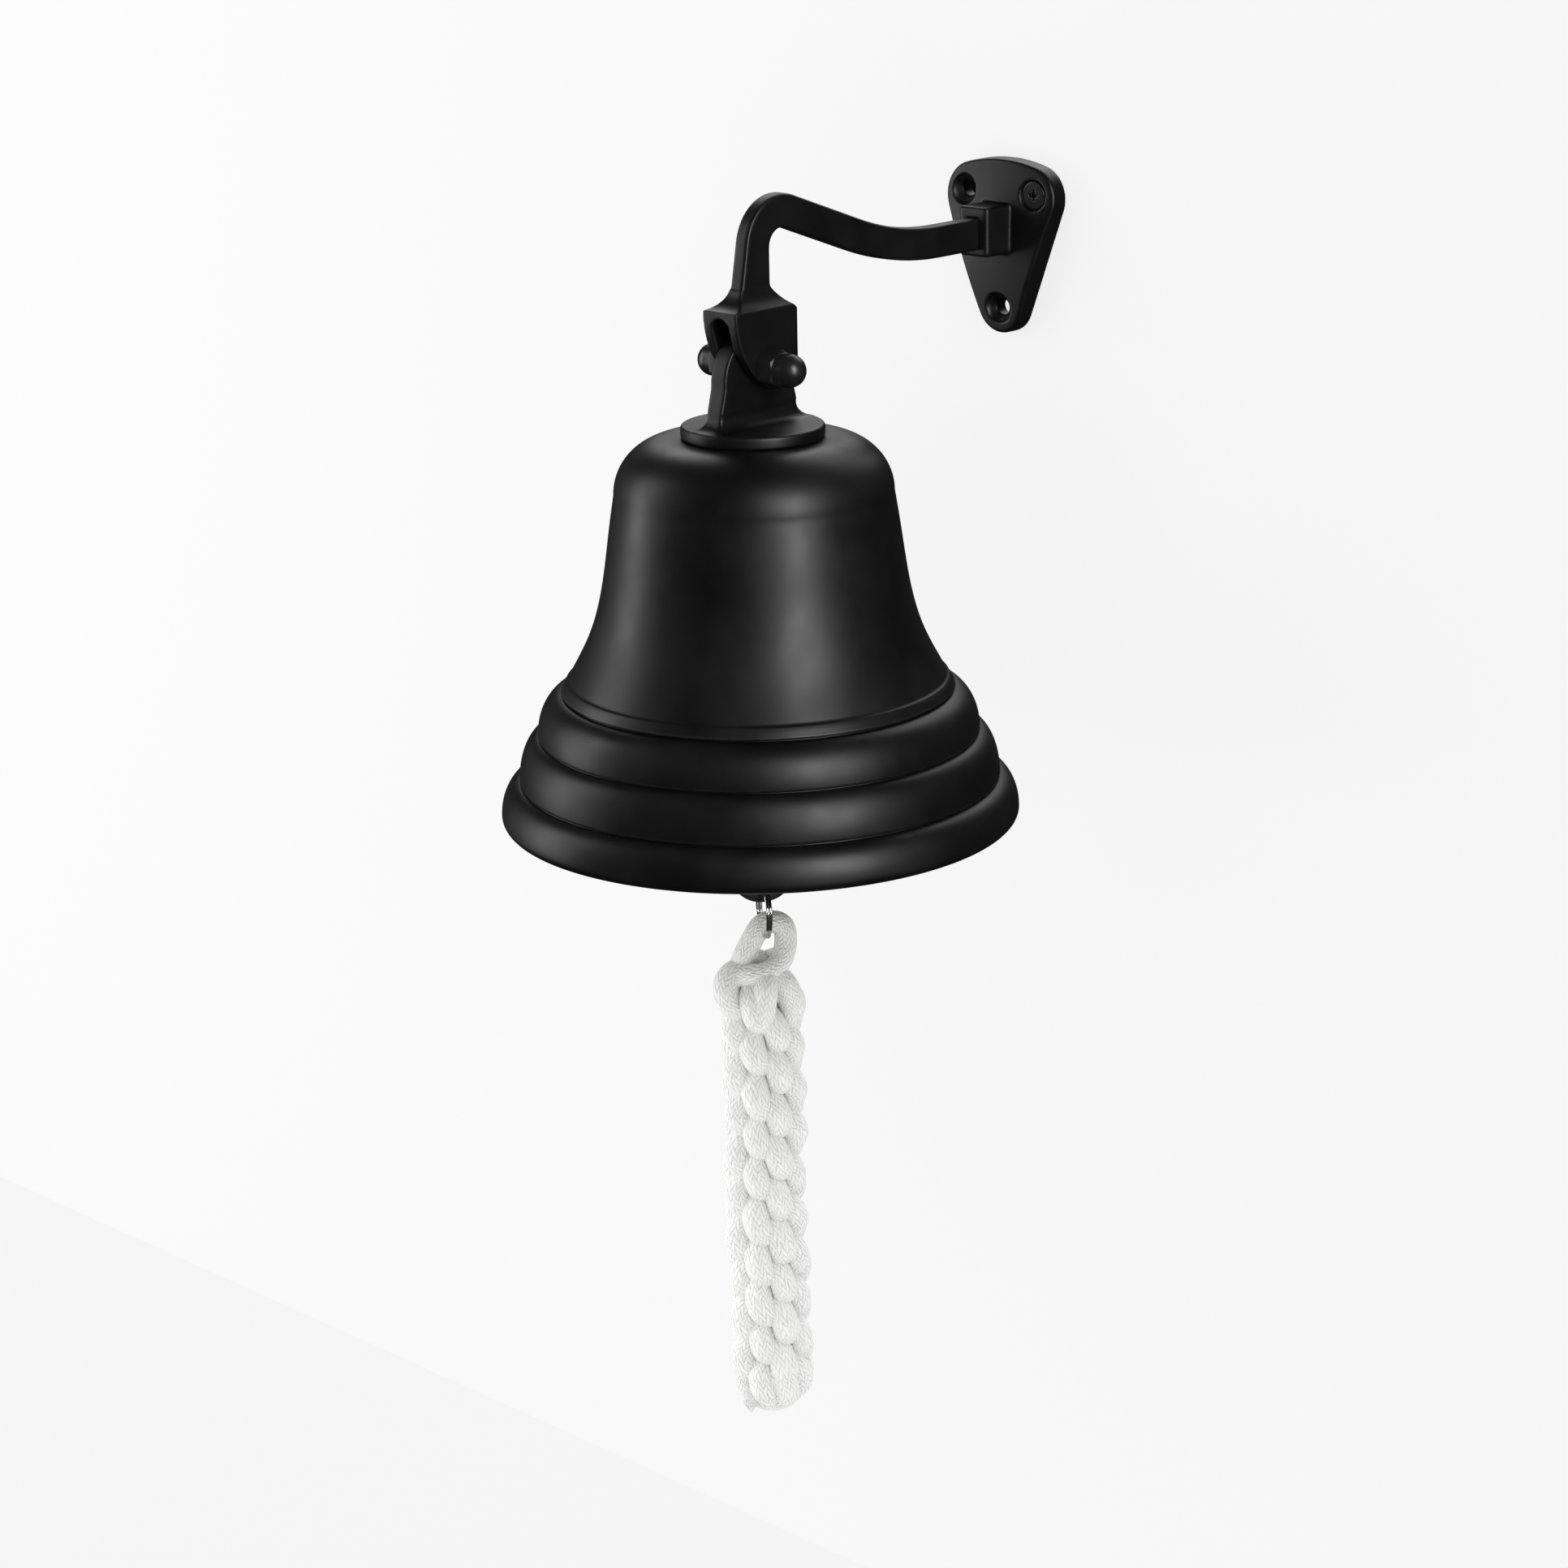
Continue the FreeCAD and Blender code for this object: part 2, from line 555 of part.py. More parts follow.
def tab_side_outline():
    """Lug seen from the side: round head, straight flanks, foot flaring to the flange."""
    foot_z = CROWN_Z + FLANGE_H
    flare_z = foot_z + TAB_FLARE
    foot_y = TAB_HALF_Y + TAB_FLARE - TAB_FOOT_TRIM

    def point(y, z):
        return V(-FLANGE_R, y, z)

    head_y = TAB_R * math.cos(TAB_HEAD_END)
    head_z = TAB_CENTRE_Z - TAB_R * math.sin(TAB_HEAD_END)
    flare_mid = (TAB_HALF_Y + TAB_FLARE * FLARE_MID[0], foot_z + TAB_FLARE * FLARE_MID[1])
    return [
        arc(point(-head_y, head_z), point(0, TAB_CENTRE_Z + TAB_R), point(head_y, head_z)),
        line(point(head_y, head_z), point(TAB_HALF_Y, flare_z)),
        arc(point(TAB_HALF_Y, flare_z), point(*flare_mid), point(foot_y, foot_z)),
        line(point(foot_y, foot_z), point(foot_y, foot_z - 1)),
        line(point(foot_y, foot_z - 1), point(-foot_y, foot_z - 1)),
        line(point(-foot_y, foot_z - 1), point(-foot_y, foot_z)),
        arc(point(-foot_y, foot_z), point(-flare_mid[0], flare_mid[1]), point(-TAB_HALF_Y, flare_z)),
        line(point(-TAB_HALF_Y, flare_z), point(-head_y, head_z)),
    ]


def tab_front_outline():
    """Lug seen from the front: thin tab with a small flare at its foot."""
    foot_z = CROWN_Z + FLANGE_H
    top_z = TAB_CENTRE_Z + TAB_R + 1
    flare_z = foot_z + TAB_FLARE
    wide = TAB_HALF_X + TAB_FLARE_X

    def point(x, z):
        return V(x, -FLANGE_R, z)

    flare_mid = (TAB_HALF_X + TAB_FLARE_X * FLARE_MID[0], foot_z + TAB_FLARE * FLARE_MID[1])
    return [
        line(point(-TAB_HALF_X, top_z), point(TAB_HALF_X, top_z)),
        line(point(TAB_HALF_X, top_z), point(TAB_HALF_X, flare_z)),
        arc(point(TAB_HALF_X, flare_z), point(*flare_mid), point(wide, foot_z)),
        line(point(wide, foot_z), point(wide, foot_z - 1)),
        line(point(wide, foot_z - 1), point(-wide, foot_z - 1)),
        line(point(-wide, foot_z - 1), point(-wide, foot_z)),
        arc(point(-wide, foot_z), point(-flare_mid[0], flare_mid[1]), point(-TAB_HALF_X, flare_z)),
        line(point(-TAB_HALF_X, flare_z), point(-TAB_HALF_X, top_z)),
    ]


def make_crown_lug():
    """Tab and flange in one casting, bored for the pivot and tapped from below."""
    flange = Part.makeCylinder(FLANGE_R, FLANGE_H, V(0, 0, CROWN_Z))
    flange = rounded_edges(flange, FLANGE_FILLET, lambda e: e.BoundBox.XLength > FLANGE_R and e.BoundBox.ZLength < 0.1)
    side = solid_prism(tab_side_outline(), V(2 * FLANGE_R, 0, 0))
    front = solid_prism(tab_front_outline(), V(0, 2 * FLANGE_R, 0))
    lug = flange.fuse(side.common(front))
    lug = lug.cut(rod(BOLT_R + BOLT_PLAY, V(-FLANGE_R, 0, PIVOT_TO_RIM), V(FLANGE_R, 0, PIVOT_TO_RIM)))
    lug = lug.cut(rod(SHANK_R + SEAT_PLAY, V(0, 0, CROWN_Z - 1), V(0, 0, SHANK_TOP_Z + TAPPED_END_GAP)))
    return hang(one_solid(lug))


# ---- bell shell ------------------------------------------------------------

def quarter_swell(start, end):
    """Quarter ellipse that leaves start level and reaches end upright."""
    handle_out = (start[0] + KAPPA * (end[0] - start[0]), start[1])
    handle_up = (end[0], end[1] + KAPPA * (start[1] - end[1]))
    curve = Part.BezierCurve()
    curve.setPoles([at(start), at(handle_out), at(handle_up), at(end)])
    return curve.toShape()


def smooth_run(points):
    """A smooth curve through (radius, height) points."""
    curve = Part.BSplineCurve()
    curve.interpolate([at(p) for p in points])
    return curve.toShape()


def groove_below(foot):
    """The start of the next rib, a little in and down from the last one's foot."""
    return (foot[0] - GROOVE_IN, foot[1] - GROOVE_DOWN)


def bell_profile():
    """Half-section of the shell, from the crown down the outside and back up the inside."""
    shoulder_z = CROWN_Z - SHOULDER_ARC
    inner_crown_z = CROWN_Z - CROWN_THICK
    inner_shoulder_z = inner_crown_z - INNER_SHOULDER_ARC
    hole_r = SHANK_R + CROWN_HOLE_PLAY
    mouth_z = LIP_R
    diagonal = math.sqrt(0.5)
    outer_mid = (SHOULDER_R - SHOULDER_ARC * (1 - diagonal), shoulder_z + SHOULDER_ARC * diagonal)
    inner_mid = (INNER_SHOULDER_R - INNER_SHOULDER_ARC * (1 - diagonal),
                 inner_shoulder_z + INNER_SHOULDER_ARC * diagonal)
    lip_mid = (MOUTH_R - LIP_R * (1 - diagonal), LIP_R * (1 - diagonal))
    edges = [
        line(at((hole_r, CROWN_Z)), at((SHOULDER_R - SHOULDER_ARC, CROWN_Z))),
        arc(at((SHOULDER_R - SHOULDER_ARC, CROWN_Z)), at(outer_mid), at((SHOULDER_R, shoulder_z))),
        smooth_run([(SHOULDER_R, shoulder_z)] + WAIST + [WAIST_FOOT]),
        line(at(WAIST_FOOT), at(BEAD_FOOT)),
    ]
    last = BEAD_FOOT
    for foot in (RIB_1_FOOT, RIB_2_FOOT, (MOUTH_R, mouth_z)):
        start = groove_below(last)
        edges.append(line(at(last), at(start)))
        edges.append(quarter_swell(start, foot))
        last = foot
    edges += [
        arc(at((MOUTH_R, mouth_z)), at(lip_mid), at((MOUTH_R - LIP_R, 0))),
        line(at((MOUTH_R - LIP_R, 0)), at((MOUTH_INNER_R, 0))),
        smooth_run([(MOUTH_INNER_R, 0)] + INNER_WALL[::-1] + [(INNER_SHOULDER_R, inner_shoulder_z)]),
        arc(at((INNER_SHOULDER_R, inner_shoulder_z)), at(inner_mid),
            at((INNER_SHOULDER_R - INNER_SHOULDER_ARC, inner_crown_z))),
        line(at((INNER_SHOULDER_R - INNER_SHOULDER_ARC, inner_crown_z)), at((hole_r, inner_crown_z))),
        line(at((hole_r, inner_crown_z)), at((hole_r, CROWN_Z))),
    ]
    return edges


def make_bell_body():
    return hang(one_solid(turned(bell_profile())))


# ---- what holds the clapper ------------------------------------------------

def wire_ring(ring_r, wire_r, centre_z, normal):
    """A round ring of wire standing upright, facing along normal."""
    return Part.makeTorus(ring_r, wire_r, V(0, 0, centre_z), normal)


def make_crown_washer():
    top_z = CROWN_Z - CROWN_THICK
    washer = Part.makeCylinder(WASHER_R, WASHER_H, V(0, 0, top_z - WASHER_H))
    hole = Part.makeCylinder(SHANK_R + CROWN_HOLE_PLAY, WASHER_H, V(0, 0, top_z - WASHER_H))
    return hang(one_solid(washer.cut(hole)))


def make_crown_nut():
    top_z = CROWN_Z - CROWN_THICK - WASHER_H
    nut = hex_prism(NUT_FLATS, CROWN_NUT_H, V(0, 0, top_z - CROWN_NUT_H), Z_AXIS)
    bore = Part.makeCylinder(SHANK_R + SEAT_PLAY, NUT_HEX_H, V(0, 0, top_z - NUT_HEX_H))
    return hang(one_solid(nut.cut(bore)))


def make_crown_eyebolt():
    """Threaded shank up into the lug, with the clapper's eye below the crown."""
    shank_bottom = EYE_Z + EYE_R - WELD_DEPTH
    shank = Part.makeCylinder(SHANK_R, SHANK_TOP_Z - shank_bottom, V(0, 0, shank_bottom))
    eye = wire_ring(EYE_R, EYE_WIRE_R, EYE_Z, Y_AXIS)
    return face_out(one_solid(shank.fuse(eye)))


def make_clapper_link():
    """Oblong closed link whose plane crosses both eyes."""
    top_z = LINK_TOP_Z - LINK_HALF
    bottom_z = LINK_BOTTOM_Z + LINK_HALF

    def in_plane(y, z):
        return V(0, y, z)

    path = Part.Wire([
        centred_arc((0, top_z), LINK_HALF, 0, 180, in_plane),
        line(in_plane(-LINK_HALF, top_z), in_plane(-LINK_HALF, bottom_z)),
        centred_arc((0, bottom_z), LINK_HALF, 180, 360, in_plane),
        line(in_plane(LINK_HALF, bottom_z), in_plane(LINK_HALF, top_z)),
    ])
    section = Part.Wire(Part.makeCircle(LINK_WIRE_R, V(0, LINK_HALF, top_z), Z_AXIS))
    link = path.makePipeShell([section], True, True)
    return face_out(one_solid(Part.Solid(Part.Shell(link.Faces))))


# ---- clapper ---------------------------------------------------------------

def make_clapper_rod():
    """Rod with a round eye at its top, screwed into the ball."""
    top_z = ROD_EYE_Z - EYE_R + WELD_DEPTH
    stem = Part.makeCylinder(ROD_R, top_z - BALL_Z, V(0, 0, BALL_Z))
    eye = wire_ring(EYE_R, EYE_WIRE_R, ROD_EYE_Z, Y_AXIS)
    return face_out(one_solid(stem.fuse(eye)))


def make_clapper_ball():
    """Ball with a flat round tail, cross-drilled for the split ring."""
    ball = Part.makeSphere(BALL_R, V(0, 0, BALL_Z))
    tail_z = TAIL_BOTTOM_Z + TAIL_R
    front = V(0, -TAIL_HALF_THICK, tail_z)
    tail = Part.makeCylinder(TAIL_R, 2 * TAIL_HALF_THICK, front, Y_AXIS)
    tail = rounded_edges(tail, TAIL_EDGE_FILLET, lambda e: e.BoundBox.XLength > TAIL_R and e.BoundBox.YLength < 0.1)
    ball = ball.fuse(tail)
    ball = ball.cut(rod(TAIL_HOLE_R, V(0, -BALL_R - 1, TAIL_HOLE_Z), V(0, BALL_R + 1, TAIL_HOLE_Z)))
    ball = ball.cut(rod(ROD_R + SEAT_PLAY, V(0, 0, BALL_Z - ROD_END_GAP), V(0, 0, BALL_Z + BALL_R + 1)))
    return face_out(one_solid(ball))


# ---- split ring and lanyard ------------------------------------------------

def make_split_ring():
    """Two touching turns of spring wire, through the clapper's tail."""
    turns = [wire_ring(RING_R, RING_WIRE_R, RING_Z, X_AXIS).translated(X_AXIS * side * RING_PITCH / 2)
             for side in (-1, 1)]
    return face_out(one_solid(turns[0].fuse(turns[1])))


def make_lanyard_eye():
    """Cord loop on the split ring, and the neck where it enters the braid."""
    loop = wire_ring(CORD_EYE_R, CORD_R, CORD_EYE_Z, Y_AXIS)
    neck = Part.makeCone(BODY_R, NECK_TOP_R, NECK_TOP_Z - BODY_TOP_Z, V(0, 0, BODY_TOP_Z))
    return face_out(one_solid(loop.fuse(neck)))


def make_lanyard_body():
    """The braided length, as a plain round tube of cord."""
    return face_out(one_solid(Part.makeCylinder(BODY_R, BODY_TOP_Z - BODY_BOTTOM_Z, V(0, 0, BODY_BOTTOM_Z))))


def make_lanyard_end():
    """The crowned-off end of the braid."""
    end = Part.makeCylinder(BODY_R, BODY_BOTTOM_Z - END_BOTTOM_Z, V(0, 0, END_BOTTOM_Z))
    end = rounded_edges(end, END_FILLET, lambda e: e.BoundBox.ZMax < END_BOTTOM_Z + 0.1)
    return face_out(one_solid(end))


# ---- export ----------------------------------------------------------------

def all_pieces():
    """Every node's name and its finished solid."""
    return {
        "wall_plate": make_wall_plate(),
        "wall_screw": make_wall_screw(),
        "bracket_arm": make_bracket_arm(),
        "arm_screw": make_arm_screw(),
        "pivot_bolt": make_pivot_bolt(),
        "acorn_nut_right": make_acorn_nut(1),
        "acorn_nut_left": make_acorn_nut(-1),
        "crown_lug": make_crown_lug(),
        "bell_body": make_bell_body(),
        "crown_washer": make_crown_washer(),
        "crown_nut": make_crown_nut(),
        "crown_eyebolt": make_crown_eyebolt(),
        "clapper_link": make_clapper_link(),
        "clapper_rod": make_clapper_rod(),
        "clapper_ball": make_clapper_ball(),
        "split_ring": make_split_ring(),
        "lanyard_eye": make_lanyard_eye(),
        "lanyard_body": make_lanyard_body(),
        "lanyard_end": make_lanyard_end(),
    }


os.makedirs("parts", exist_ok=True)
for name, piece in all_pieces().items():
    piece.exportStep("parts/%s.step" % name)
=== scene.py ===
"""Wall-mounted yard dinner bell: its looks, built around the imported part.

Metres.  +Z is up, X runs along the wall and +Y points into the wall, whose
face is y = 0.  The bell's own frame has its axis upright and its rim plane at
height zero; BELL_AXIS and RIM_HEIGHT place it under the bracket.
"""

import logging
import math
from dataclasses import dataclass, field
from enum import Enum
from typing import Any

import bpy
import bmesh
import numpy as np
from mathutils import Matrix, Vector


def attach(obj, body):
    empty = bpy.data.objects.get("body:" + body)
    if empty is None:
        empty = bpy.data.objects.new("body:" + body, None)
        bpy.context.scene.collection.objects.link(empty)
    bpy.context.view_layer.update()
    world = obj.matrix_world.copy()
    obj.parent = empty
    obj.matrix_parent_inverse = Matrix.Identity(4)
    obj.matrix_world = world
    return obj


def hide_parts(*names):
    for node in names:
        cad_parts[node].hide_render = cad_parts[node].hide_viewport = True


Socket = bpy.types.NodeSocket
Tree = bpy.types.NodeTree
Thing = bpy.types.Object
Pair = tuple[float, float]
Triple = tuple[float, float, float]

log = logging.getLogger("dinner_bell")

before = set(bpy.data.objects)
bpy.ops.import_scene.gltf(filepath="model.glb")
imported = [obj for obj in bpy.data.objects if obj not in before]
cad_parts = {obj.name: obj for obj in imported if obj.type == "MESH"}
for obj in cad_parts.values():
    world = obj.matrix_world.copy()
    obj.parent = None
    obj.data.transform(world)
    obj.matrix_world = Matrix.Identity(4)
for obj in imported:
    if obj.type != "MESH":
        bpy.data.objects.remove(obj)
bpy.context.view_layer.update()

BELL_AXIS = (0.0, -0.115)
RIM_HEIGHT = -0.1466
PIVOT_LINE = (-0.115, -0.0136)
PIVOT_KEPT = 0.0040
WELD = 2e-6
SMOOTHING = 0.5
MILLIMETRE = 0.001
NUMBER = "NodeSocketFloat"
WHITE = (1.0, 1.0, 1.0, 1.0)


class Body(Enum):
    """The bodies that the new pieces ride on, by the frame's names."""

    BRACKET = "bracket"
    BELL = "bell"
    CLAPPER = "clapper"
    RING = "ring"
    LANYARD = "lanyard"


class Slot(Enum):
    """The record's material slots."""

    PAINT = "black_paint"
    IRON = "black_iron"
    SCREW = "dark_screw"
    ZINC = "zinc_steel"
    RING = "ring_steel"
    CORD = "white_cord"


# ---- node sheets -------------------------------------------------------------


class NodeSheet:
    """A node tree being drawn up, with short calls for adding and joining nodes."""

    def __init__(self, tree: Tree) -> None:
        """Keep the tree that the calls add to.

        Args:
            tree: A geometry, shader or group tree.
        """
        self.tree = tree

    @staticmethod
    def pick(sockets: Any, key: str | int) -> Socket:
        """Find a socket in use by its name or its place.

        Args:
            sockets: A node's inputs or outputs.
            key: The socket's name, or its place in the list.

        Returns:
            The first socket in use that fits.
        """
        if isinstance(key, int):
            return sockets[key]
        return next(s for s in sockets if s.name == key and s.enabled)

    def add(
        self, kind: str, inputs: dict[str | int, Any] | None = None, **settings: Any
    ) -> bpy.types.Node:
        """Add one node.

        Args:
            kind: Blender's name for the node type.
            inputs: Values or sockets for its inputs, by name or place.
            **settings: Properties of the node itself, set before its inputs.

        Returns:
            The new node.
        """
        node = self.tree.nodes.new(kind)
        for name, value in settings.items():
            setattr(node, name, value)
        for key, value in (inputs or {}).items():
            socket = self.pick(node.inputs, key)
            if isinstance(value, Socket):
                self.tree.links.new(value, socket)
            else:
                socket.default_value = value
        return node

    def out(
        self,
        kind: str,
        inputs: dict[str | int, Any] | None = None,
        output: str | int = 0,
        **settings: Any,
    ) -> Socket:
        """Add one node and return one of its outputs.

        Args:
            kind: Blender's name for the node type.
            inputs: Values or sockets for its inputs.
            output: The wanted output's name or place.
            **settings: Properties of the node itself.

        Returns:
            The output socket.
        """
        return self.pick(self.add(kind, inputs, **settings).outputs, output)

    def math(self, operation: str, *values: Any) -> Socket:
        """Work out one number.

        Args:
            operation: The Math node's operation.
            *values: Its operands, numbers or sockets.

        Returns:
            The result's socket.
        """
        return self.out("ShaderNodeMath", dict(enumerate(values)), operation=operation)

    def blend(self, share: Any, low: Any, high: Any) -> Socket:
        """Mix two numbers, low where share is 0 and high where it is 1."""
        return self.out("ShaderNodeMix", {"Factor": share, "A": low, "B": high}, "Result")

    def tint(self, share: Any, low: Any, high: Any) -> Socket:
        """Mix two colours, low where share is 0 and high where it is 1."""
        ends = [c if isinstance(c, Socket) else (*c, 1.0) for c in (low, high)]
        return self.out(
            "ShaderNodeMix",
            {"Factor": share, "A": ends[0], "B": ends[1]},
            "Result",
            data_type="RGBA",
        )

    def ramp(
        self, value: Any, low: float, high: float, start: float = 0.0, end: float = 1.0
    ) -> Socket:
        """Carry a number from low..high to start..end, held at both ends."""
        span = {"From Min": low, "From Max": high, "To Min": start, "To Max": end}
        return self.out("ShaderNodeMapRange", {"Value": value, **span})

    def noise(self, scale: Any, detail: float, roughness: float = 0.5) -> Socket:
        """Add a noise texture that is read in the object's own coordinates."""
        place = self.out("ShaderNodeTexCoord", output="Object")
        sizes = {"Scale": scale, "Detail": detail, "Roughness": roughness}
        return self.out("ShaderNodeTexNoise", {"Vector": place, **sizes}, "Fac")

    def vector(self, x: Any, y: Any, z: Any) -> Socket:
        """Put three numbers together."""
        return self.out("ShaderNodeCombineXYZ", {"X": x, "Y": y, "Z": z})

    def parts(self, vector: Any) -> Any:
        """Take a vector apart into outputs named X, Y and Z."""
        return self.add("ShaderNodeSeparateXYZ", {0: vector}).outputs

    def marked(self, geometry: Any, name: str, value: Any) -> Socket:
        """Store a number on every point of a geometry, under a name."""
        return self.out(
            "GeometryNodeStoreNamedAttribute",
            {"Geometry": geometry, "Name": name, "Value": value},
            data_type="FLOAT",
            domain="POINT",
        )

    def bump(self, height: Any, strength: float, depth: float) -> Socket:
        """Turn heights into a normal, up to depth deep."""
        sizes = {"Strength": strength, "Distance": depth}
        return self.out("ShaderNodeBump", {"Height": height, **sizes})

    def cover(self, looks: dict[str, Any]) -> None:
        """Finish a material with a Principled surface."""
        surface = self.out("ShaderNodeBsdfPrincipled", looks)
        self.add("ShaderNodeOutputMaterial", {"Surface": surface})

    def inlet(self, name: str, kind: str, default: Any = None) -> None:
        """Add a named input to the tree's interface.

        Args:
            name: The input's name.
            kind: The socket type.
            default: Its value where none is given.
        """
        socket = self.tree.interface.new_socket(name=name, in_out="INPUT", socket_type=kind)
        if default is not None:
            socket.default_value = default

    def outlet(self, name: str, kind: str) -> None:
        """Add a named output to the tree's interface."""
        self.tree.interface.new_socket(name=name, in_out="OUTPUT", socket_type=kind)

    def entry(self) -> Any:
        """Return a lookup from an input's name to its socket inside the tree."""
        outputs = self.tree.nodes.new("NodeGroupInput").outputs
        return lambda name: outputs[name]

    def leave(self, results: dict[str, Socket]) -> None:
        """Join results to the tree's outputs.

        Args:
            results: A socket for each output's name.
        """
        end = self.tree.nodes.new("NodeGroupOutput")
        for name, socket in results.items():
            self.tree.links.new(socket, end.inputs[name])

    def grow(self, geometry: Any, material: Any) -> Tree:
        """Give the finished geometry its material and leave the tree with it."""
        made = self.out("GeometryNodeSetMaterial", {"Geometry": geometry, "Material": material})
        self.leave({"Geometry": made})
        return self.tree


def growth_sheet(name: str, counts: tuple[str, ...], sizes: tuple[str, ...]) -> NodeSheet:
    """Start a Geometry Nodes tree.

    Args:
        name: The tree's name.
        counts: Its whole-number inputs.
        sizes: Its other number inputs.

    Returns:
        The sheet, with Geometry in and out and a Material input.
    """
    sheet = NodeSheet(bpy.data.node_groups.new(name, "GeometryNodeTree"))
    sheet.inlet("Geometry", "NodeSocketGeometry")
    for label in counts:
        sheet.inlet(label, "NodeSocketInt")
    for label in sizes:
        sheet.inlet(label, NUMBER)
    sheet.inlet("Material", "NodeSocketMaterial")
    sheet.outlet("Geometry", "NodeSocketGeometry")
    return sheet


def effect_sheet(name: str, inputs: dict[str, float], outputs: tuple[str, ...]) -> NodeSheet:
    """Start a shader node group whose inputs and outputs are numbers.

    Args:
        name: The group's name.
        inputs: Default for each named input.
        outputs: The outputs' names.

    Returns:
        The sheet of the group.
    """
    sheet = NodeSheet(bpy.data.node_groups.new(name, "ShaderNodeTree"))
    for label, default in inputs.items():
        sheet.inlet(label, NUMBER, default)
    for label in outputs:
        sheet.outlet(label, NUMBER)
    return sheet


def emptied(owner: bpy.types.Material | bpy.types.World) -> NodeSheet:
    """Clear the tree of a new material or world and return its sheet."""
    owner.use_nodes = True
    owner.node_tree.nodes.clear()
    return NodeSheet(owner.node_tree)


# ---- meshes ------------------------------------------------------------------


def placed(name: str, data: bpy.types.ID) -> Thing:
    """Put a mesh, camera or light in the scene as an object at the origin."""
    thing = bpy.data.objects.new(name, data)
    bpy.context.scene.collection.objects.link(thing)
    return thing


def settle(thing: Thing) -> Thing:
    """Turn an object's modifiers into its plain mesh.

    Args:
        thing: An object whose modifiers are live.

    Returns:
        The same object, with the evaluated mesh and no modifiers.
    """
    bpy.context.view_layer.update()
    graph = bpy.context.evaluated_depsgraph_get()
    mesh = bpy.data.meshes.new_from_object(
        thing.evaluated_get(graph), preserve_all_data_layers=True, depsgraph=graph
    )
    thing.modifiers.clear()
    thing.data = mesh
    mesh.name = thing.name
    return thing


def grown(
    name: str,
    carrier: bpy.types.Mesh,
    tree: Tree,
    sizes: dict[str, Any],
) -> Thing:
    """Run a Geometry Nodes tree on a carrier mesh and keep the result.

    Args:
        name: The new object's name.
        carrier: The mesh that the tree starts from.
        tree: The Geometry Nodes tree.
        sizes: Values for its named inputs.

    Returns:
        The finished object, with a plain mesh.
    """
    thing = placed(name, carrier)
    modifier = thing.modifiers.new("growth", "NODES")
    modifier.node_group = tree
    for item in tree.interface.items_tree:
        if item.in_out == "INPUT" and item.name in sizes:
            modifier[item.identifier] = sizes[item.name]
    return settle(thing)


def joined(name: str, first: Thing, *others: Thing) -> Thing:
    """Join finished objects into one and name it.

    Args:
        name: The result's name.
        first: The object that takes the others in.
        *others: The objects that it takes.

    Returns:
        The joined object.
    """
    with bpy.context.temp_override(
        active_object=first,
        selected_editable_objects=[first, *others],
        selected_objects=[first, *others],
        object=first,
    ):
        bpy.ops.object.join()
    first.name = name
    first.data.name = name
    return first


def polyline(name: str, points: np.ndarray, radii: np.ndarray) -> bpy.types.Mesh:
    """Make a line of edges that carries a radius at each point.

    Args:
        name: The mesh's name.
        points: One row of coordinates for each point.
        radii: The radius at each point.

    Returns:
        A mesh of vertices and edges.
    """
    mesh = bpy.data.meshes.new(name)
    count = len(points)
    mesh.from_pydata([tuple(p) for p in points], [(i, i + 1) for i in range(count - 1)], [])
    store = mesh.attributes.new("radius", "FLOAT", "POINT")
    store.data.foreach_set("value", np.asarray(radii, np.float32))
    return mesh


def smooth_line(points: list[Triple]) -> np.ndarray:
    """Read back the points of a NURBS spline of order 3.

    Args:
        points: Its control points.

    Returns:
        Points along the spline, one row each.
    """
    curve = bpy.data.curves.new("line", "CURVE")
    curve.dimensions = "3D"
    curve.resolution_u = 16
    spline = curve.splines.new("NURBS")
    spline.points.add(len(points) - 1)
    for target, point in zip(spline.points, points):
        target.co = (*point, 1.0)
    spline.order_u = 3
    spline.use_endpoint_u = True
    holder = bpy.data.objects.new("line", curve)
    mesh = bpy.data.meshes.new_from_object(holder)
    line = np.array([v.co for v in mesh.vertices], float)
    bpy.data.objects.remove(holder)
    bpy.data.meshes.remove(mesh)
    return line


def natural_curve(points: list[Pair], count: int) -> list[tuple]:
    """Run a smooth curve through points.

    Args:
        points: The (radius, height) pairs it passes through.
        count: How many points to return.

    Returns:
        Evenly spread pairs along a natural cubic spline, both ends included.
    """
    knots = np.array(points, float)
    steps = np.linalg.norm(np.diff(knots, axis=0), axis=1)
    at = np.concatenate([[0], np.cumsum(steps)])
    size = len(knots)
    system, right = np.eye(size), np.zeros((size, 2))
    for i in range(1, size - 1):
        system[i, i - 1 : i + 2] = steps[i - 1], 2 * (at[i + 1] - at[i - 1]), steps[i]
        slope_on = (knots[i + 1] - knots[i]) / steps[i]
        slope_back = (knots[i] - knots[i - 1]) / steps[i - 1]
        right[i] = 6 * (slope_on - slope_back)
    bend = np.linalg.solve(system, right)
    found = []
    for t in np.linspace(0, at[-1], count):
        i = min(int(np.searchsorted(at, t, "right")) - 1, size - 2)
        h, back, on = steps[i], at[i + 1] - t, t - at[i]
        point = (bend[i] * back**3 + bend[i + 1] * on**3) / (6 * h)
        point += (knots[i] / h - bend[i] * h / 6) * back
        point += (knots[i + 1] / h - bend[i + 1] * h / 6) * on
        found.append(tuple(point))
    return found


# ---- growth trees ------------------------------------------------------------


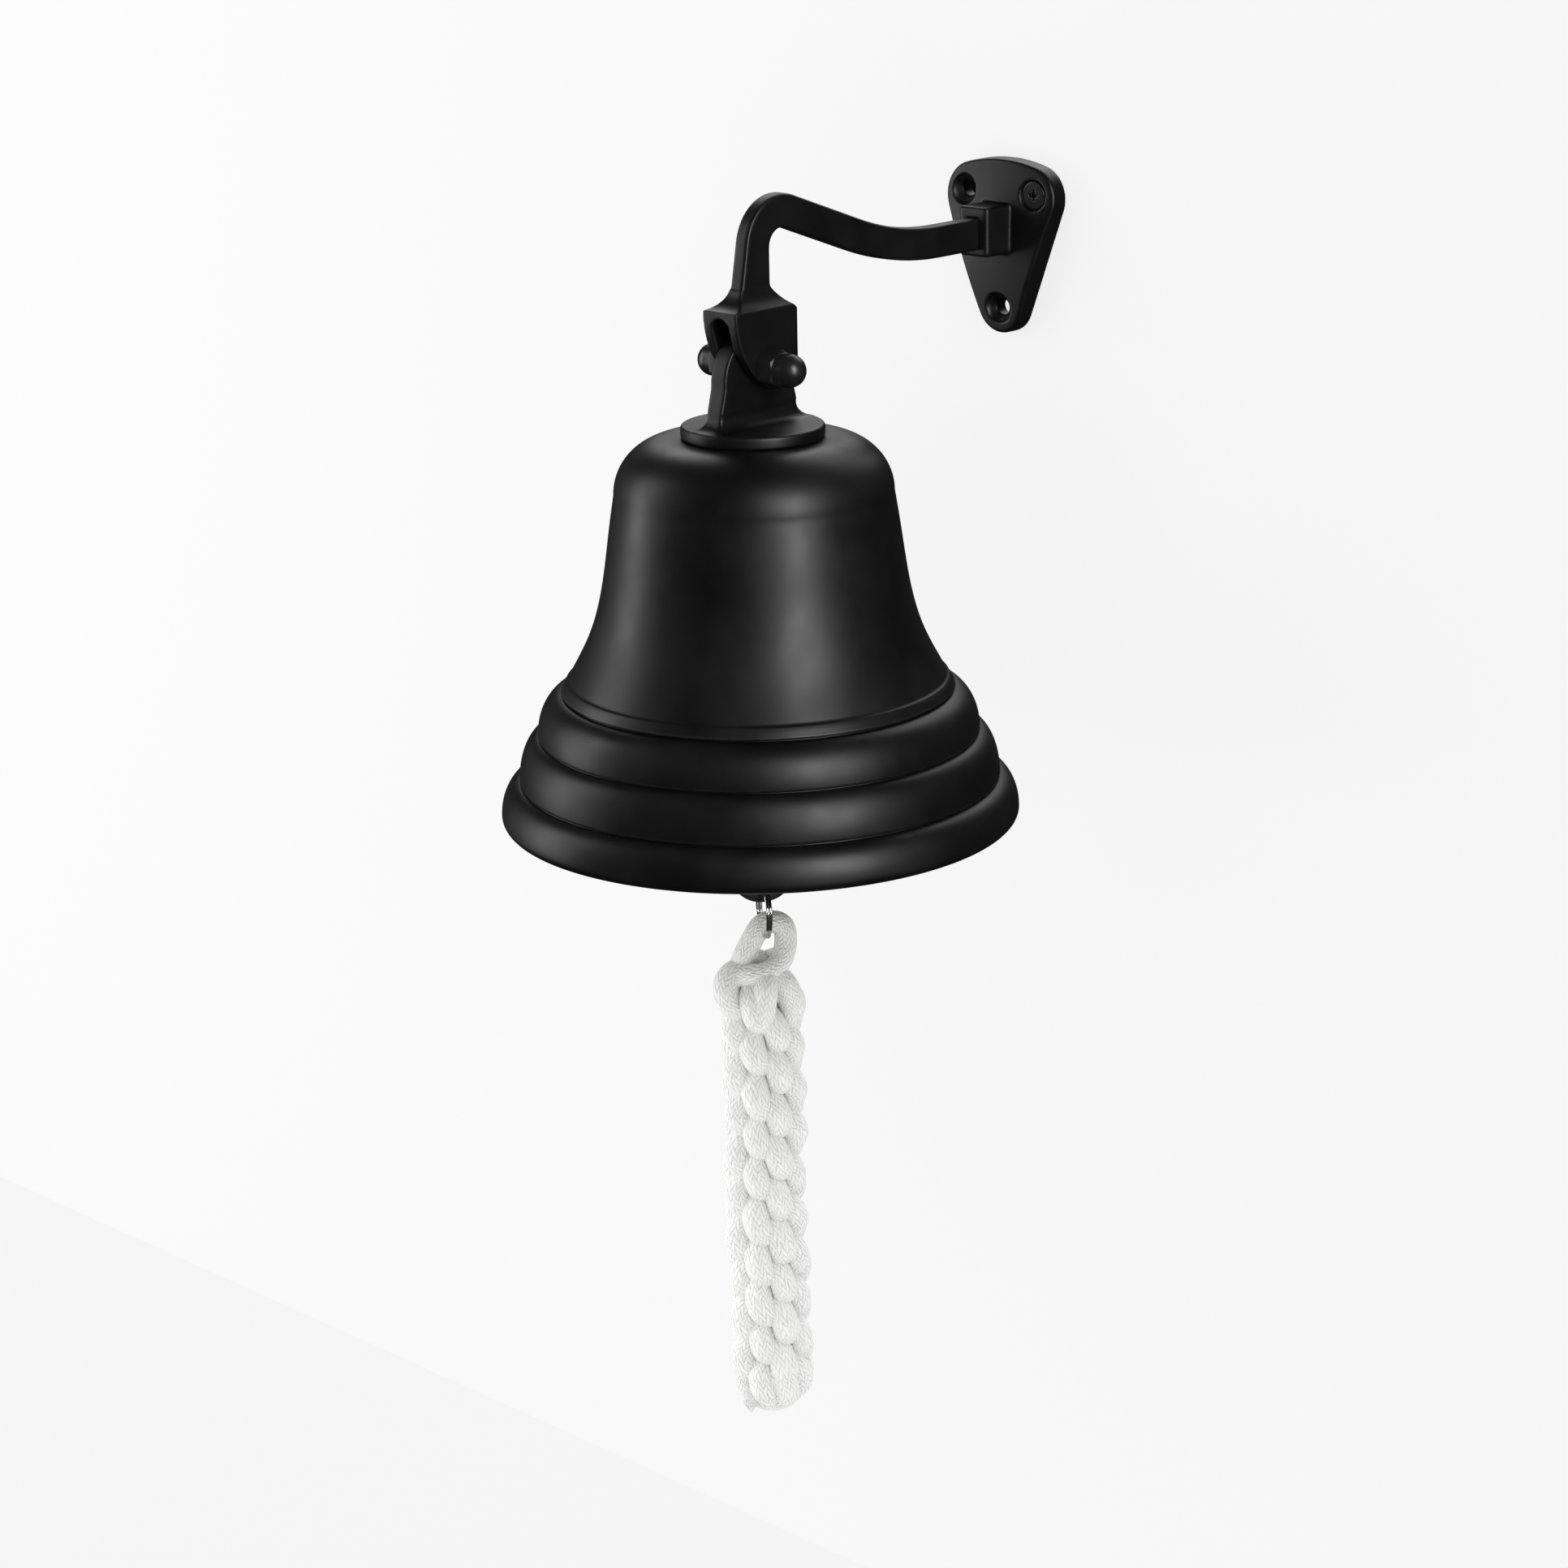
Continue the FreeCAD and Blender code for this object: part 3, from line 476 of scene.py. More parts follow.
def strand_tree() -> Tree:
    """Build the tree that wraps cord or wire round a line of edges.

    Returns:
        A tree that leaves along, ring_cos and ring_sin on the surface.
    """
    sheet = growth_sheet("wrapped strand", ("Sides",), ("Step",))
    given = sheet.entry()
    curve = sheet.out("GeometryNodeMeshToCurve", {"Mesh": given("Geometry")})
    curve = sheet.out(
        "GeometryNodeResampleCurve",
        {"Curve": curve, "Length": given("Step")},
        mode="LENGTH",
    )
    return sheet.grow(wrapped(sheet, curve, given("Sides")), given("Material"))


def wrapped(sheet: NodeSheet, curve: Socket, sides: Any) -> Socket:
    """Wrap a round skin on a curve and mark where each point of it lies.

    Args:
        sheet: The tree being drawn up.
        curve: The curve, with its radius set.
        sides: How many sides the skin has.

    Returns:
        The skin's mesh, shaded smooth.
    """
    length = sheet.out("GeometryNodeSplineParameter", output="Length")
    circle = sheet.out("GeometryNodeCurvePrimitiveCircle", {"Resolution": sides, "Radius": 1.0})
    place = sheet.parts(sheet.out("GeometryNodeInputPosition"))
    for name, axis in (("ring_cos", "X"), ("ring_sin", "Y")):
        circle = sheet.marked(circle, name, place[axis])
    mesh = sheet.out(
        "GeometryNodeCurveToMesh",
        {
            "Curve": sheet.marked(curve, "along", length),
            "Profile Curve": circle,
            "Scale": sheet.out("GeometryNodeInputRadius"),
            "Fill Caps": True,
        },
    )
    return sheet.out("GeometryNodeSetShadeSmooth", {0: mesh})


LOBE_STRAY = 0.0005
LOBE_TURNS = (0.05, 0.03, 0.045)
LOBE_GROWTH = 0.04
DIP_POWER = 2.2
LOBE_PROUD = 0.0006
THIN_POWER = 3.0
LOBE_THINNING = 0.42


def braid_tree() -> Tree:
    """Build the tree that plaits rows of lobes round a line.

    Returns:
        A tree whose inputs are the braid's own sizes.
    """
    sheet = growth_sheet(
        "crown braid",
        ("Rows", "Columns", "Sides", "Rings", "Seed"),
        (
            "First Height", "Last Height", "Top Of Route", "Foot Of Route", "Pitch",
            "Ring Radius", "Lobe Length", "Lobe Radius", "Dip", "Lean", "Phase", "Twist",
        ),
    )
    given = sheet.entry()
    lobe = braid_lobe(sheet, given)
    index = sheet.out("GeometryNodeInputIndex")
    column = sheet.math("FLOORED_MODULO", index, given("Columns"))
    row = sheet.math("FLOOR", sheet.math("DIVIDE", index, given("Columns")))
    odd = sheet.math("FLOORED_MODULO", column, 2.0)
    rank = sheet.math("ADD", row, sheet.math("MULTIPLY", odd, 0.5))
    height = sheet.math(
        "SUBTRACT", given("First Height"), sheet.math("MULTIPLY", given("Pitch"), rank)
    )

    def vary(most: float, offset: int, middle: float = 0.0) -> Socket:
        """Give each lobe its own number, up to most either side of the middle."""
        seed = sheet.math("ADD", given("Seed"), float(offset))
        span = {"Min": middle - most, "Max": middle + most}
        return sheet.out(
            "FunctionNodeRandomValue",
            {**span, "ID": index, "Seed": seed},
            "Value",
            data_type="FLOAT",
        )

    fall = sheet.math("SUBTRACT", given("Top Of Route"), height)
    whole = sheet.math("SUBTRACT", given("Top Of Route"), given("Foot Of Route"))
    line = sheet.out("GeometryNodeMeshToCurve", {"Mesh": given("Geometry")})
    middle = sheet.parts(
        sheet.out(
            "GeometryNodeSampleCurve",
            {"Curves": line, "Factor": sheet.math("DIVIDE", fall, whole)},
            "Position",
            mode="FACTOR",
        )
    )
    level = sheet.math("ADD", height, vary(LOBE_STRAY, 0))
    place = sheet.vector(middle["X"], middle["Y"], level)
    points = sheet.out(
        "GeometryNodePoints",
        {
            "Count": sheet.math("MULTIPLY", given("Rows"), given("Columns")),
            "Position": place,
        },
    )
    below = sheet.math("LESS_THAN", height, given("Last Height"))
    points = sheet.out(
        "GeometryNodeDeleteGeometry",
        {"Geometry": points, "Selection": below},
        domain="POINT",
    )
    step = sheet.math("DIVIDE", math.tau, given("Columns"))
    turn = sheet.math("MULTIPLY_ADD", column, step, given("Phase"))
    turn = sheet.math("MULTIPLY_ADD", fall, given("Twist"), turn)
    roll, nod, yaw = LOBE_TURNS
    bearing = sheet.vector(vary(roll, 1), vary(nod, 2), sheet.math("ADD", turn, vary(yaw, 3)))
    size = vary(LOBE_GROWTH, 5, 1.0)
    lobes = sheet.out(
        "GeometryNodeInstanceOnPoints",
        {"Points": points, "Instance": lobe, "Rotation": bearing, "Scale": size},
    )
    real = sheet.out("GeometryNodeRealizeInstances", {"Geometry": lobes})
    return sheet.grow(real, given("Material"))


def braid_lobe(sheet: NodeSheet, given: Any) -> Socket:
    """Draw one lobe: cord that comes out of the braid, leans over and tucks in.

    Args:
        sheet: The braid's tree.
        given: Lookup of the tree's inputs.

    Returns:
        The lobe's mesh, standing on the +X side of the line.
    """
    line = sheet.out(
        "GeometryNodeResampleCurve",
        {
            "Curve": sheet.out("GeometryNodeCurvePrimitiveLine"),
            "Count": given("Rings"),
        },
        mode="COUNT",
    )
    share = sheet.out("GeometryNodeSplineParameter", output="Factor")
    swing = sheet.math("MULTIPLY_ADD", share, 2.0, -1.0)
    away = sheet.math("ABSOLUTE", swing)
    sunk = sheet.math("MULTIPLY", given("Dip"), sheet.math("POWER", away, DIP_POWER))
    proud = sheet.math("MULTIPLY", swing, LOBE_PROUD)
    out = sheet.math("ADD", sheet.math("SUBTRACT", given("Ring Radius"), sunk), proud)
    bow = sheet.math("SINE", sheet.math("MULTIPLY", swing, 0.5 * math.pi))
    half = sheet.math("MULTIPLY", given("Lobe Length"), -0.5)
    place = sheet.vector(
        out, sheet.math("MULTIPLY", bow, given("Lean")), sheet.math("MULTIPLY", swing, half)
    )
    thin = sheet.math("MULTIPLY", sheet.math("POWER", away, THIN_POWER), -LOBE_THINNING)
    radius = sheet.math("MULTIPLY", given("Lobe Radius"), sheet.math("ADD", thin, 1.0))
    shaped = sheet.out("GeometryNodeSetPosition", {"Geometry": line, "Position": place})
    shaped = sheet.out("GeometryNodeSetCurveRadius", {"Curve": shaped, "Radius": radius})
    return wrapped(sheet, shaped, given("Sides"))


def turning_tree() -> Tree:
    """Build the tree that turns a closed half-profile about an upright axis.

    Returns:
        A tree whose carrier's vertices are (radius, 0, height) in order.
    """
    sheet = growth_sheet("turned shell", ("Segments",), ("Axis X", "Axis Y", "Base Height"))
    given = sheet.entry()
    count = sheet.out(
        "GeometryNodeAttributeDomainSize",
        {"Geometry": given("Geometry")},
        "Point Count",
        component="MESH",
    )
    around = sheet.math("ADD", given("Segments"), 1.0)
    rows = sheet.math("ADD", count, 1.0)
    grid = sheet.out("GeometryNodeMeshGrid", {"Vertices X": around, "Vertices Y": rows})
    index = sheet.out("GeometryNodeInputIndex")
    column = sheet.math("DIVIDE", sheet.math("ADD", index, 0.5), rows)
    column = sheet.math("FLOOR", column)
    row = sheet.math("SUBTRACT", index, sheet.math("MULTIPLY", column, rows))
    row = sheet.math("FLOORED_MODULO", row, count)
    spot = {"Value": sheet.out("GeometryNodeInputPosition"), "Index": row}
    profile = sheet.parts(
        sheet.out(
            "GeometryNodeSampleIndex",
            {"Geometry": given("Geometry"), **spot},
            "Value",
            data_type="FLOAT_VECTOR",
            domain="POINT",
        )
    )
    step = sheet.math("DIVIDE", math.tau, given("Segments"))
    angle = sheet.math("MULTIPLY", column, step)
    around_x, around_y = sheet.math("COSINE", angle), sheet.math("SINE", angle)
    place = sheet.vector(
        sheet.math("MULTIPLY_ADD", profile["X"], around_x, given("Axis X")),
        sheet.math("MULTIPLY_ADD", profile["X"], around_y, given("Axis Y")),
        sheet.math("ADD", profile["Z"], given("Base Height")),
    )
    shell = sheet.out("GeometryNodeSetPosition", {"Geometry": grid, "Position": place})
    shell = sheet.out("GeometryNodeMergeByDistance", {"Geometry": shell, "Distance": 1e-6})
    shell = sheet.out("GeometryNodeSetShadeSmooth", {0: shell})
    shell = sheet.out("GeometryNodeRealizeInstances", {"Geometry": shell})
    return sheet.grow(shell, given("Material"))


def made_outward(thing: Thing) -> Thing:
    """Recalculate a closed mesh's normals so that they point outwards."""
    work = bmesh.new()
    work.from_mesh(thing.data)
    bmesh.ops.recalc_face_normals(work, faces=work.faces)
    work.to_mesh(thing.data)
    work.free()
    return thing


# ---- shared effects ----------------------------------------------------------


def grain_group() -> Tree:
    """Build the fine grain that painted and plated metal share.

    Returns:
        A group with Tone (0 to 1), Patch (0 to 1) and Height outputs.
    """
    sheet = effect_sheet(
        "fine grain", {"Fine": 1800.0, "Broad": 60.0}, ("Tone", "Patch", "Height")
    )
    given = sheet.entry()
    rough, peel_share, peel_depth = 0.55, 0.35, 0.7
    fine = sheet.noise(given("Fine"), 2.0, rough)
    broad = sheet.noise(given("Broad"), 4.0, rough)
    peel = sheet.noise(sheet.math("MULTIPLY", given("Fine"), peel_share), 1.0, rough)
    height = sheet.math("MULTIPLY", fine, 1.0 - peel_depth)
    height = sheet.math("MULTIPLY_ADD", peel, peel_depth, height)
    sheet.leave({"Tone": fine, "Patch": broad, "Height": height})
    return sheet.tree


def edge_group() -> Tree:
    """Build the mask of the painted edge highlight, from how sharply the surface turns, broken
    into patches.

    Returns:
        A group with an Edge output, 0 on flats and 1 on sharp edges.
    """
    flat, patch_scale = 0.52, 240.0
    sheet = effect_sheet("edge rub", {"Spread": 60.0, "Amount": 1.0}, ("Edge",))
    given = sheet.entry()
    sharp = sheet.out("ShaderNodeNewGeometry", output="Pointiness")
    rise = sheet.math("MULTIPLY", sheet.math("SUBTRACT", sharp, flat), given("Spread"))
    rise = sheet.out("ShaderNodeClamp", {"Value": rise})
    patchy = sheet.math("MULTIPLY", sheet.noise(patch_scale, 3.0), given("Amount"))
    # painted highlight: where sharp edges take the lighter colour, standing in for light caught on
    # rounded edges
    edge_highlight = sheet.math("MULTIPLY", rise, patchy)
    sheet.leave({"Edge": edge_highlight})
    return sheet.tree


def yarn_group() -> Tree:
    """Build the over-two, under-two plait of yarns on a braided cord.

    Returns:
        A group with Height, Gap and Tone outputs, all 0 to 1; Gap is where painted shade goes, in
        the low spots between yarns.
    """
    sheet = effect_sheet(
        "plaited yarn",
        {"Carriers": 20.0, "Advance": 0.0019, "Wander": 3.0},
        ("Height", "Gap", "Tone"),
    )
    given = sheet.entry()
    wander_scale, loose_scale, least_loose = 160.0, 260.0, 0.22
    loose_span, gap_span = (0.44, 0.62), (0.04, 0.5)
    fullness, rise, owner_shift = 0.55, 0.8, 100.0

    def carried(name: str) -> Socket:
        """Read one of the numbers that the strand's mesh carries."""
        return sheet.out("ShaderNodeAttribute", output="Fac", attribute_name=name)

    angle = sheet.math("ARCTAN2", carried("ring_sin"), carried("ring_cos"))
    turn = sheet.math("MULTIPLY", angle, sheet.math("DIVIDE", given("Carriers"), math.tau))
    wander = sheet.math("MULTIPLY", sheet.noise(wander_scale, 3.0), given("Wander"))
    run = sheet.math("DIVIDE", carried("along"), given("Advance"))
    run = sheet.math("ADD", run, wander)
    first, second = sheet.math("ADD", turn, run), sheet.math("SUBTRACT", turn, run)
    cell_1, cell_2 = sheet.math("FLOOR", first), sheet.math("FLOOR", second)
    part_1 = sheet.math("SUBTRACT", first, cell_1)
    part_2 = sheet.math("SUBTRACT", second, cell_2)
    rank = sheet.math("FLOORED_MODULO", sheet.math("ADD", cell_1, cell_2), 4.0)
    under = sheet.math("GREATER_THAN", rank, 1.5)

    def arch(value: Any, power: float) -> Socket:
        """Raise a hump over 0 to 1."""
        hump = sheet.math("SINE", sheet.math("MULTIPLY", value, math.pi))
        return sheet.math("POWER", sheet.math("MAXIMUM", hump, 0.0), power)

    def yarn(across: Any, cross: Any, start: float) -> Socket:
        """Give the height of the yarn that is on top."""
        share = sheet.math("SUBTRACT", sheet.math("ADD", rank, cross), start)
        share = sheet.math("MULTIPLY", share, 0.5)
        lift = sheet.math("MULTIPLY_ADD", arch(share, rise), 0.5, 0.5)
        return sheet.math("MULTIPLY", arch(across, fullness), lift)

    height = sheet.blend(under, yarn(part_1, part_2, 0.0), yarn(part_2, part_1, 2.0))
    loose = sheet.ramp(sheet.noise(loose_scale, 2.0), *loose_span, start=least_loose)
    # painted shade mask: low spots between yarns, opened up where the weave is loose
    gap = sheet.math("MULTIPLY", sheet.ramp(height, *gap_span, 1.0, 0.0), loose)
    owner = sheet.blend(under, cell_1, sheet.math("ADD", cell_2, owner_shift))
    tone = sheet.out("ShaderNodeTexWhiteNoise", {"W": owner}, "Value", noise_dimensions="1D")
    sheet.leave({"Height": height, "Gap": gap, "Tone": tone})
    return sheet.tree


# ---- finishes ----------------------------------------------------------------


PATCH_SHARE = 0.7
TONE_SPAN = (0.35, 0.65)
ROUGH_SPAN = (0.3, 0.7)
GRAIN_DEPTH = 0.00004


@dataclass(frozen=True)
class MetalFinish:
    """A painted, blackened or plated metal surface."""

    name: str
    slot: Slot
    dark: Triple
    light: Triple
    metallic: float
    smooth: float
    rough: float
    bump: float
    grain: float = 1800.0
    # painted highlight on sharp edges: edge is its strength, the colour after it is its colour
    edge: float = 0.6
    edge_highlight: Triple = (0.026, 0.026, 0.027)
    specular: float = 0.5

    def material(self, groups: dict[str, Tree]) -> bpy.types.Material:
        """Build the material.

        Args:
            groups: The shared effects, by name.

        Returns:
            The finished material.
        """
        made = bpy.data.materials.new(self.name)
        sheet = emptied(made)
        grain = sheet.add(
            "ShaderNodeGroup", node_tree=groups["grain"], inputs={"Fine": self.grain}
        )
        glint = sheet.add("ShaderNodeGroup", node_tree=groups["edge"])
        patch = grain.outputs["Patch"]
        tone = sheet.math("MULTIPLY", grain.outputs["Tone"], 1.0 - PATCH_SHARE)
        tone = sheet.math("MULTIPLY_ADD", patch, PATCH_SHARE, tone)
        colour = sheet.tint(sheet.ramp(tone, *TONE_SPAN), self.dark, self.light)
        # painted highlight: sharp edges get a lighter colour, standing in for the light that
        # rounded edges catch
        glint_share = sheet.math("MULTIPLY", glint.outputs["Edge"], self.edge)
        colour = sheet.tint(glint_share, colour, self.edge_highlight)
        rough = sheet.ramp(patch, *ROUGH_SPAN, self.smooth, self.rough)
        look = {"Metallic": self.metallic, "Specular IOR Level": self.specular}
        bump = sheet.bump(grain.outputs["Height"], self.bump, GRAIN_DEPTH)
        sheet.cover({"Base Color": colour, "Roughness": rough, "Normal": bump, **look})
        return made


@dataclass(frozen=True)
class CottonFinish:
    """Braided white cotton cord."""

    name: str
    slot: Slot
    yarn: Triple = (0.92, 0.92, 0.91)
    shade: Triple = (0.78, 0.78, 0.77)
    # painted shade: colour of the gaps between yarns
    gap_shade: Triple = (0.42, 0.42, 0.415)
    carriers: float = 20.0
    advance: float = 0.0019
    lint: float = 2600.0
    lint_share: float = 0.65
    lint_depth: float = 0.18
    bump: float = 0.9
    depth: float = 0.00035
    rough: float = 0.9
    specular: float = 0.2
    sheen: float = 0.25
    sheen_rough: float = 0.5

    def material(self, groups: dict[str, Tree]) -> bpy.types.Material:
        """Build the material.

        Args:
            groups: The shared effects, by name.

        Returns:
            The finished material.
        """
        made = bpy.data.materials.new(self.name)
        sheet = emptied(made)
        plait = sheet.add(
            "ShaderNodeGroup",
            node_tree=groups["yarn"],
            inputs={"Carriers": self.carriers, "Advance": self.advance},
        )
        lint = sheet.noise(self.lint, 3.0)
        tone = sheet.math("MULTIPLY", lint, self.lint_share)
        share = 1.0 - self.lint_share
        tone = sheet.math("MULTIPLY_ADD", plait.outputs["Tone"], share, tone)
        body = sheet.tint(tone, self.yarn, self.shade)
        # painted shade: the gaps between yarns take a darker colour
        colour = sheet.tint(plait.outputs["Gap"], body, self.gap_shade)
        height = sheet.math("MULTIPLY_ADD", lint, self.lint_depth, plait.outputs["Height"])
        look = {"Roughness": self.rough, "Specular IOR Level": self.specular}
        sheen = {"Sheen Weight": self.sheen, "Sheen Roughness": self.sheen_rough}
        bump = sheet.bump(height, self.bump, self.depth)
        sheet.cover({"Base Color": colour, "Normal": bump, **look, **sheen})
        return made


PAINT = MetalFinish(
    "satin_black_paint", Slot.PAINT, (0.0014, 0.0014, 0.0015), (0.0034, 0.0034, 0.0035),
    0.0, 0.40, 0.50, 0.26, specular=0.42,
)
IRON = MetalFinish(
    "blackened_iron", Slot.IRON, (0.005, 0.005, 0.005), (0.012, 0.012, 0.012),
    0.0, 0.32, 0.42, 0.2,
)
DARK_SCREW = MetalFinish(
    "blackened_screw", Slot.SCREW, (0.012, 0.012, 0.012), (0.035, 0.035, 0.035),
    0.6, 0.24, 0.38, 0.9, grain=1100.0, edge=1.0, edge_highlight=(0.10, 0.10, 0.10),
)
ZINC = MetalFinish(
    "zinc_plate", Slot.ZINC, (0.42, 0.42, 0.42), (0.58, 0.57, 0.55),
    1.0, 0.28, 0.42, 0.25, grain=1200.0, edge_highlight=(0.62, 0.61, 0.60),
)
NICKEL = MetalFinish(
    "nickel_spring_wire", Slot.RING, (0.60, 0.60, 0.60), (0.74, 0.74, 0.73),
    1.0, 0.10, 0.2, 0.1, grain=2400.0, edge_highlight=(0.76, 0.76, 0.75),
)
COTTON = CottonFinish("braided_cotton", Slot.CORD)


class Wardrobe:
    """Every finish's material, and the calls that dress a piece in one."""

    def __init__(self) -> None:
        """Build the shared effects and each material once."""
        groups = {
            "grain": grain_group(),
            "edge": edge_group(),
            "yarn": yarn_group(),
        }
        finishes = (PAINT, IRON, DARK_SCREW, ZINC, NICKEL, COTTON)
        self.materials = {f.slot: f.material(groups) for f in finishes}

    def dress(self, thing: Thing, slot: Slot, body: Body, *nodes: str) -> None:
        """Give a piece one finish all over, hide the CAD nodes that it stands for and hang it on
        its body.

        Args:
            thing: The finished piece.
            slot: Its finish.
            body: The body that it rides on.
            *nodes: The CAD nodes that it stands for.
        """
        thing.data.materials.clear()
        thing.data.materials.append(self.materials[slot])
        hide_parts(*nodes)
        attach(thing, body.value)
        log.info("built %s with %d faces", thing.name, len(thing.data.polygons))

    def dress_nodes(self, slot: Slot, *names: str) -> None:
        """Give CAD nodes a better material in their own slots.

        Args:
            slot: The finish.
            *names: The nodes.
        """
        for name in names:
            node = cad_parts[name]
            if not node.material_slots:
                node.data.materials.append(self.materials[slot])
            for place in node.material_slots:
                place.material = self.materials[slot]
            log.info("dressed %s in %s", name, slot.value)


# ---- camera, light and stage -------------------------------------------------


@dataclass(frozen=True)
class Viewpoint:
    """Where the camera stands, about the bell's axis and rim plane."""

    azimuth: float = math.radians(44.0)
    distance: float = 1.0
    height: float = 0.3181
    pitch: float = math.radians(17.19)
    yaw: float = math.radians(0.40)
    roll: float = math.radians(-1.07)
    lens: float = 81.95
    sensor: float = 36.0
    clip: Pair = (0.05, 20.0)

    def right(self) -> np.ndarray:
        """Return the level direction to the camera's right."""
        return np.array([math.cos(self.azimuth), math.sin(self.azimuth), 0.0])

    def toward(self) -> np.ndarray:
        """Return the level direction from the bell to the camera."""
        return np.array([math.sin(self.azimuth), -math.cos(self.azimuth), 0.0])

    def build(self) -> Thing:
        """Create the camera.

        Returns:
            The camera object, also the scene's own.
        """
        data = bpy.data.cameras.new("camera")
        data.lens, data.sensor_width = self.lens, self.sensor
        data.clip_start, data.clip_end = self.clip
        camera = placed("camera", data)
        turn = np.column_stack([self.right(), -self.toward(), [0.0, 0.0, 1.0]])
        level = math.cos(self.pitch)
        ahead = np.array(
            [math.sin(self.yaw) * level, math.cos(self.yaw) * level, -math.sin(self.pitch)]
        )
        across = np.array([math.cos(self.yaw), -math.sin(self.yaw), 0.0])
        above = np.cross(across, ahead)
        tipped = across * math.cos(self.roll) + above * math.sin(self.roll)
        upright = above * math.cos(self.roll) - across * math.sin(self.roll)
        place = self.toward() * self.distance + [*BELL_AXIS, RIM_HEIGHT + self.height]
        columns = [turn @ tipped, turn @ upright, turn @ -ahead, place]
        matrix = np.eye(4)
        matrix[:3, :] = np.column_stack(columns)
        camera.matrix_world = Matrix(matrix.tolist())
        bpy.context.scene.camera = camera
        return camera


@dataclass(frozen=True)
class SoftBox:
    """One studio light, aimed at the bell."""

    name: str
    bearing: float
    elevation: float
    distance: float
    width: float
    height: float
    power: float
    aim: float = -0.08
    gloss_only: bool = False

    def build(self, view: Viewpoint) -> Thing:
        """Create the light.

        Args:
            view: The viewpoint that bearings are measured from, to its right.

        Returns:
            The light object.
        """
        data = bpy.data.lights.new(self.name, "AREA")
        data.shape = "RECTANGLE"
        data.size, data.size_y, data.energy = self.width, self.height, self.power
        light = placed(self.name, data)
        side, rise = math.radians(self.bearing), math.radians(self.elevation)
        level = view.toward() * math.cos(side) + view.right() * math.sin(side)
        target = Vector((*BELL_AXIS, self.aim))
        offset = Vector(level * math.cos(rise) + [0.0, 0.0, math.sin(rise)])
        light.location = target + offset * self.distance
        light.rotation_mode = "QUATERNION"
        light.rotation_quaternion = (-offset).to_track_quat("-Z", "Y")
        light.visible_camera = False
        light.visible_diffuse = not self.gloss_only
        return light


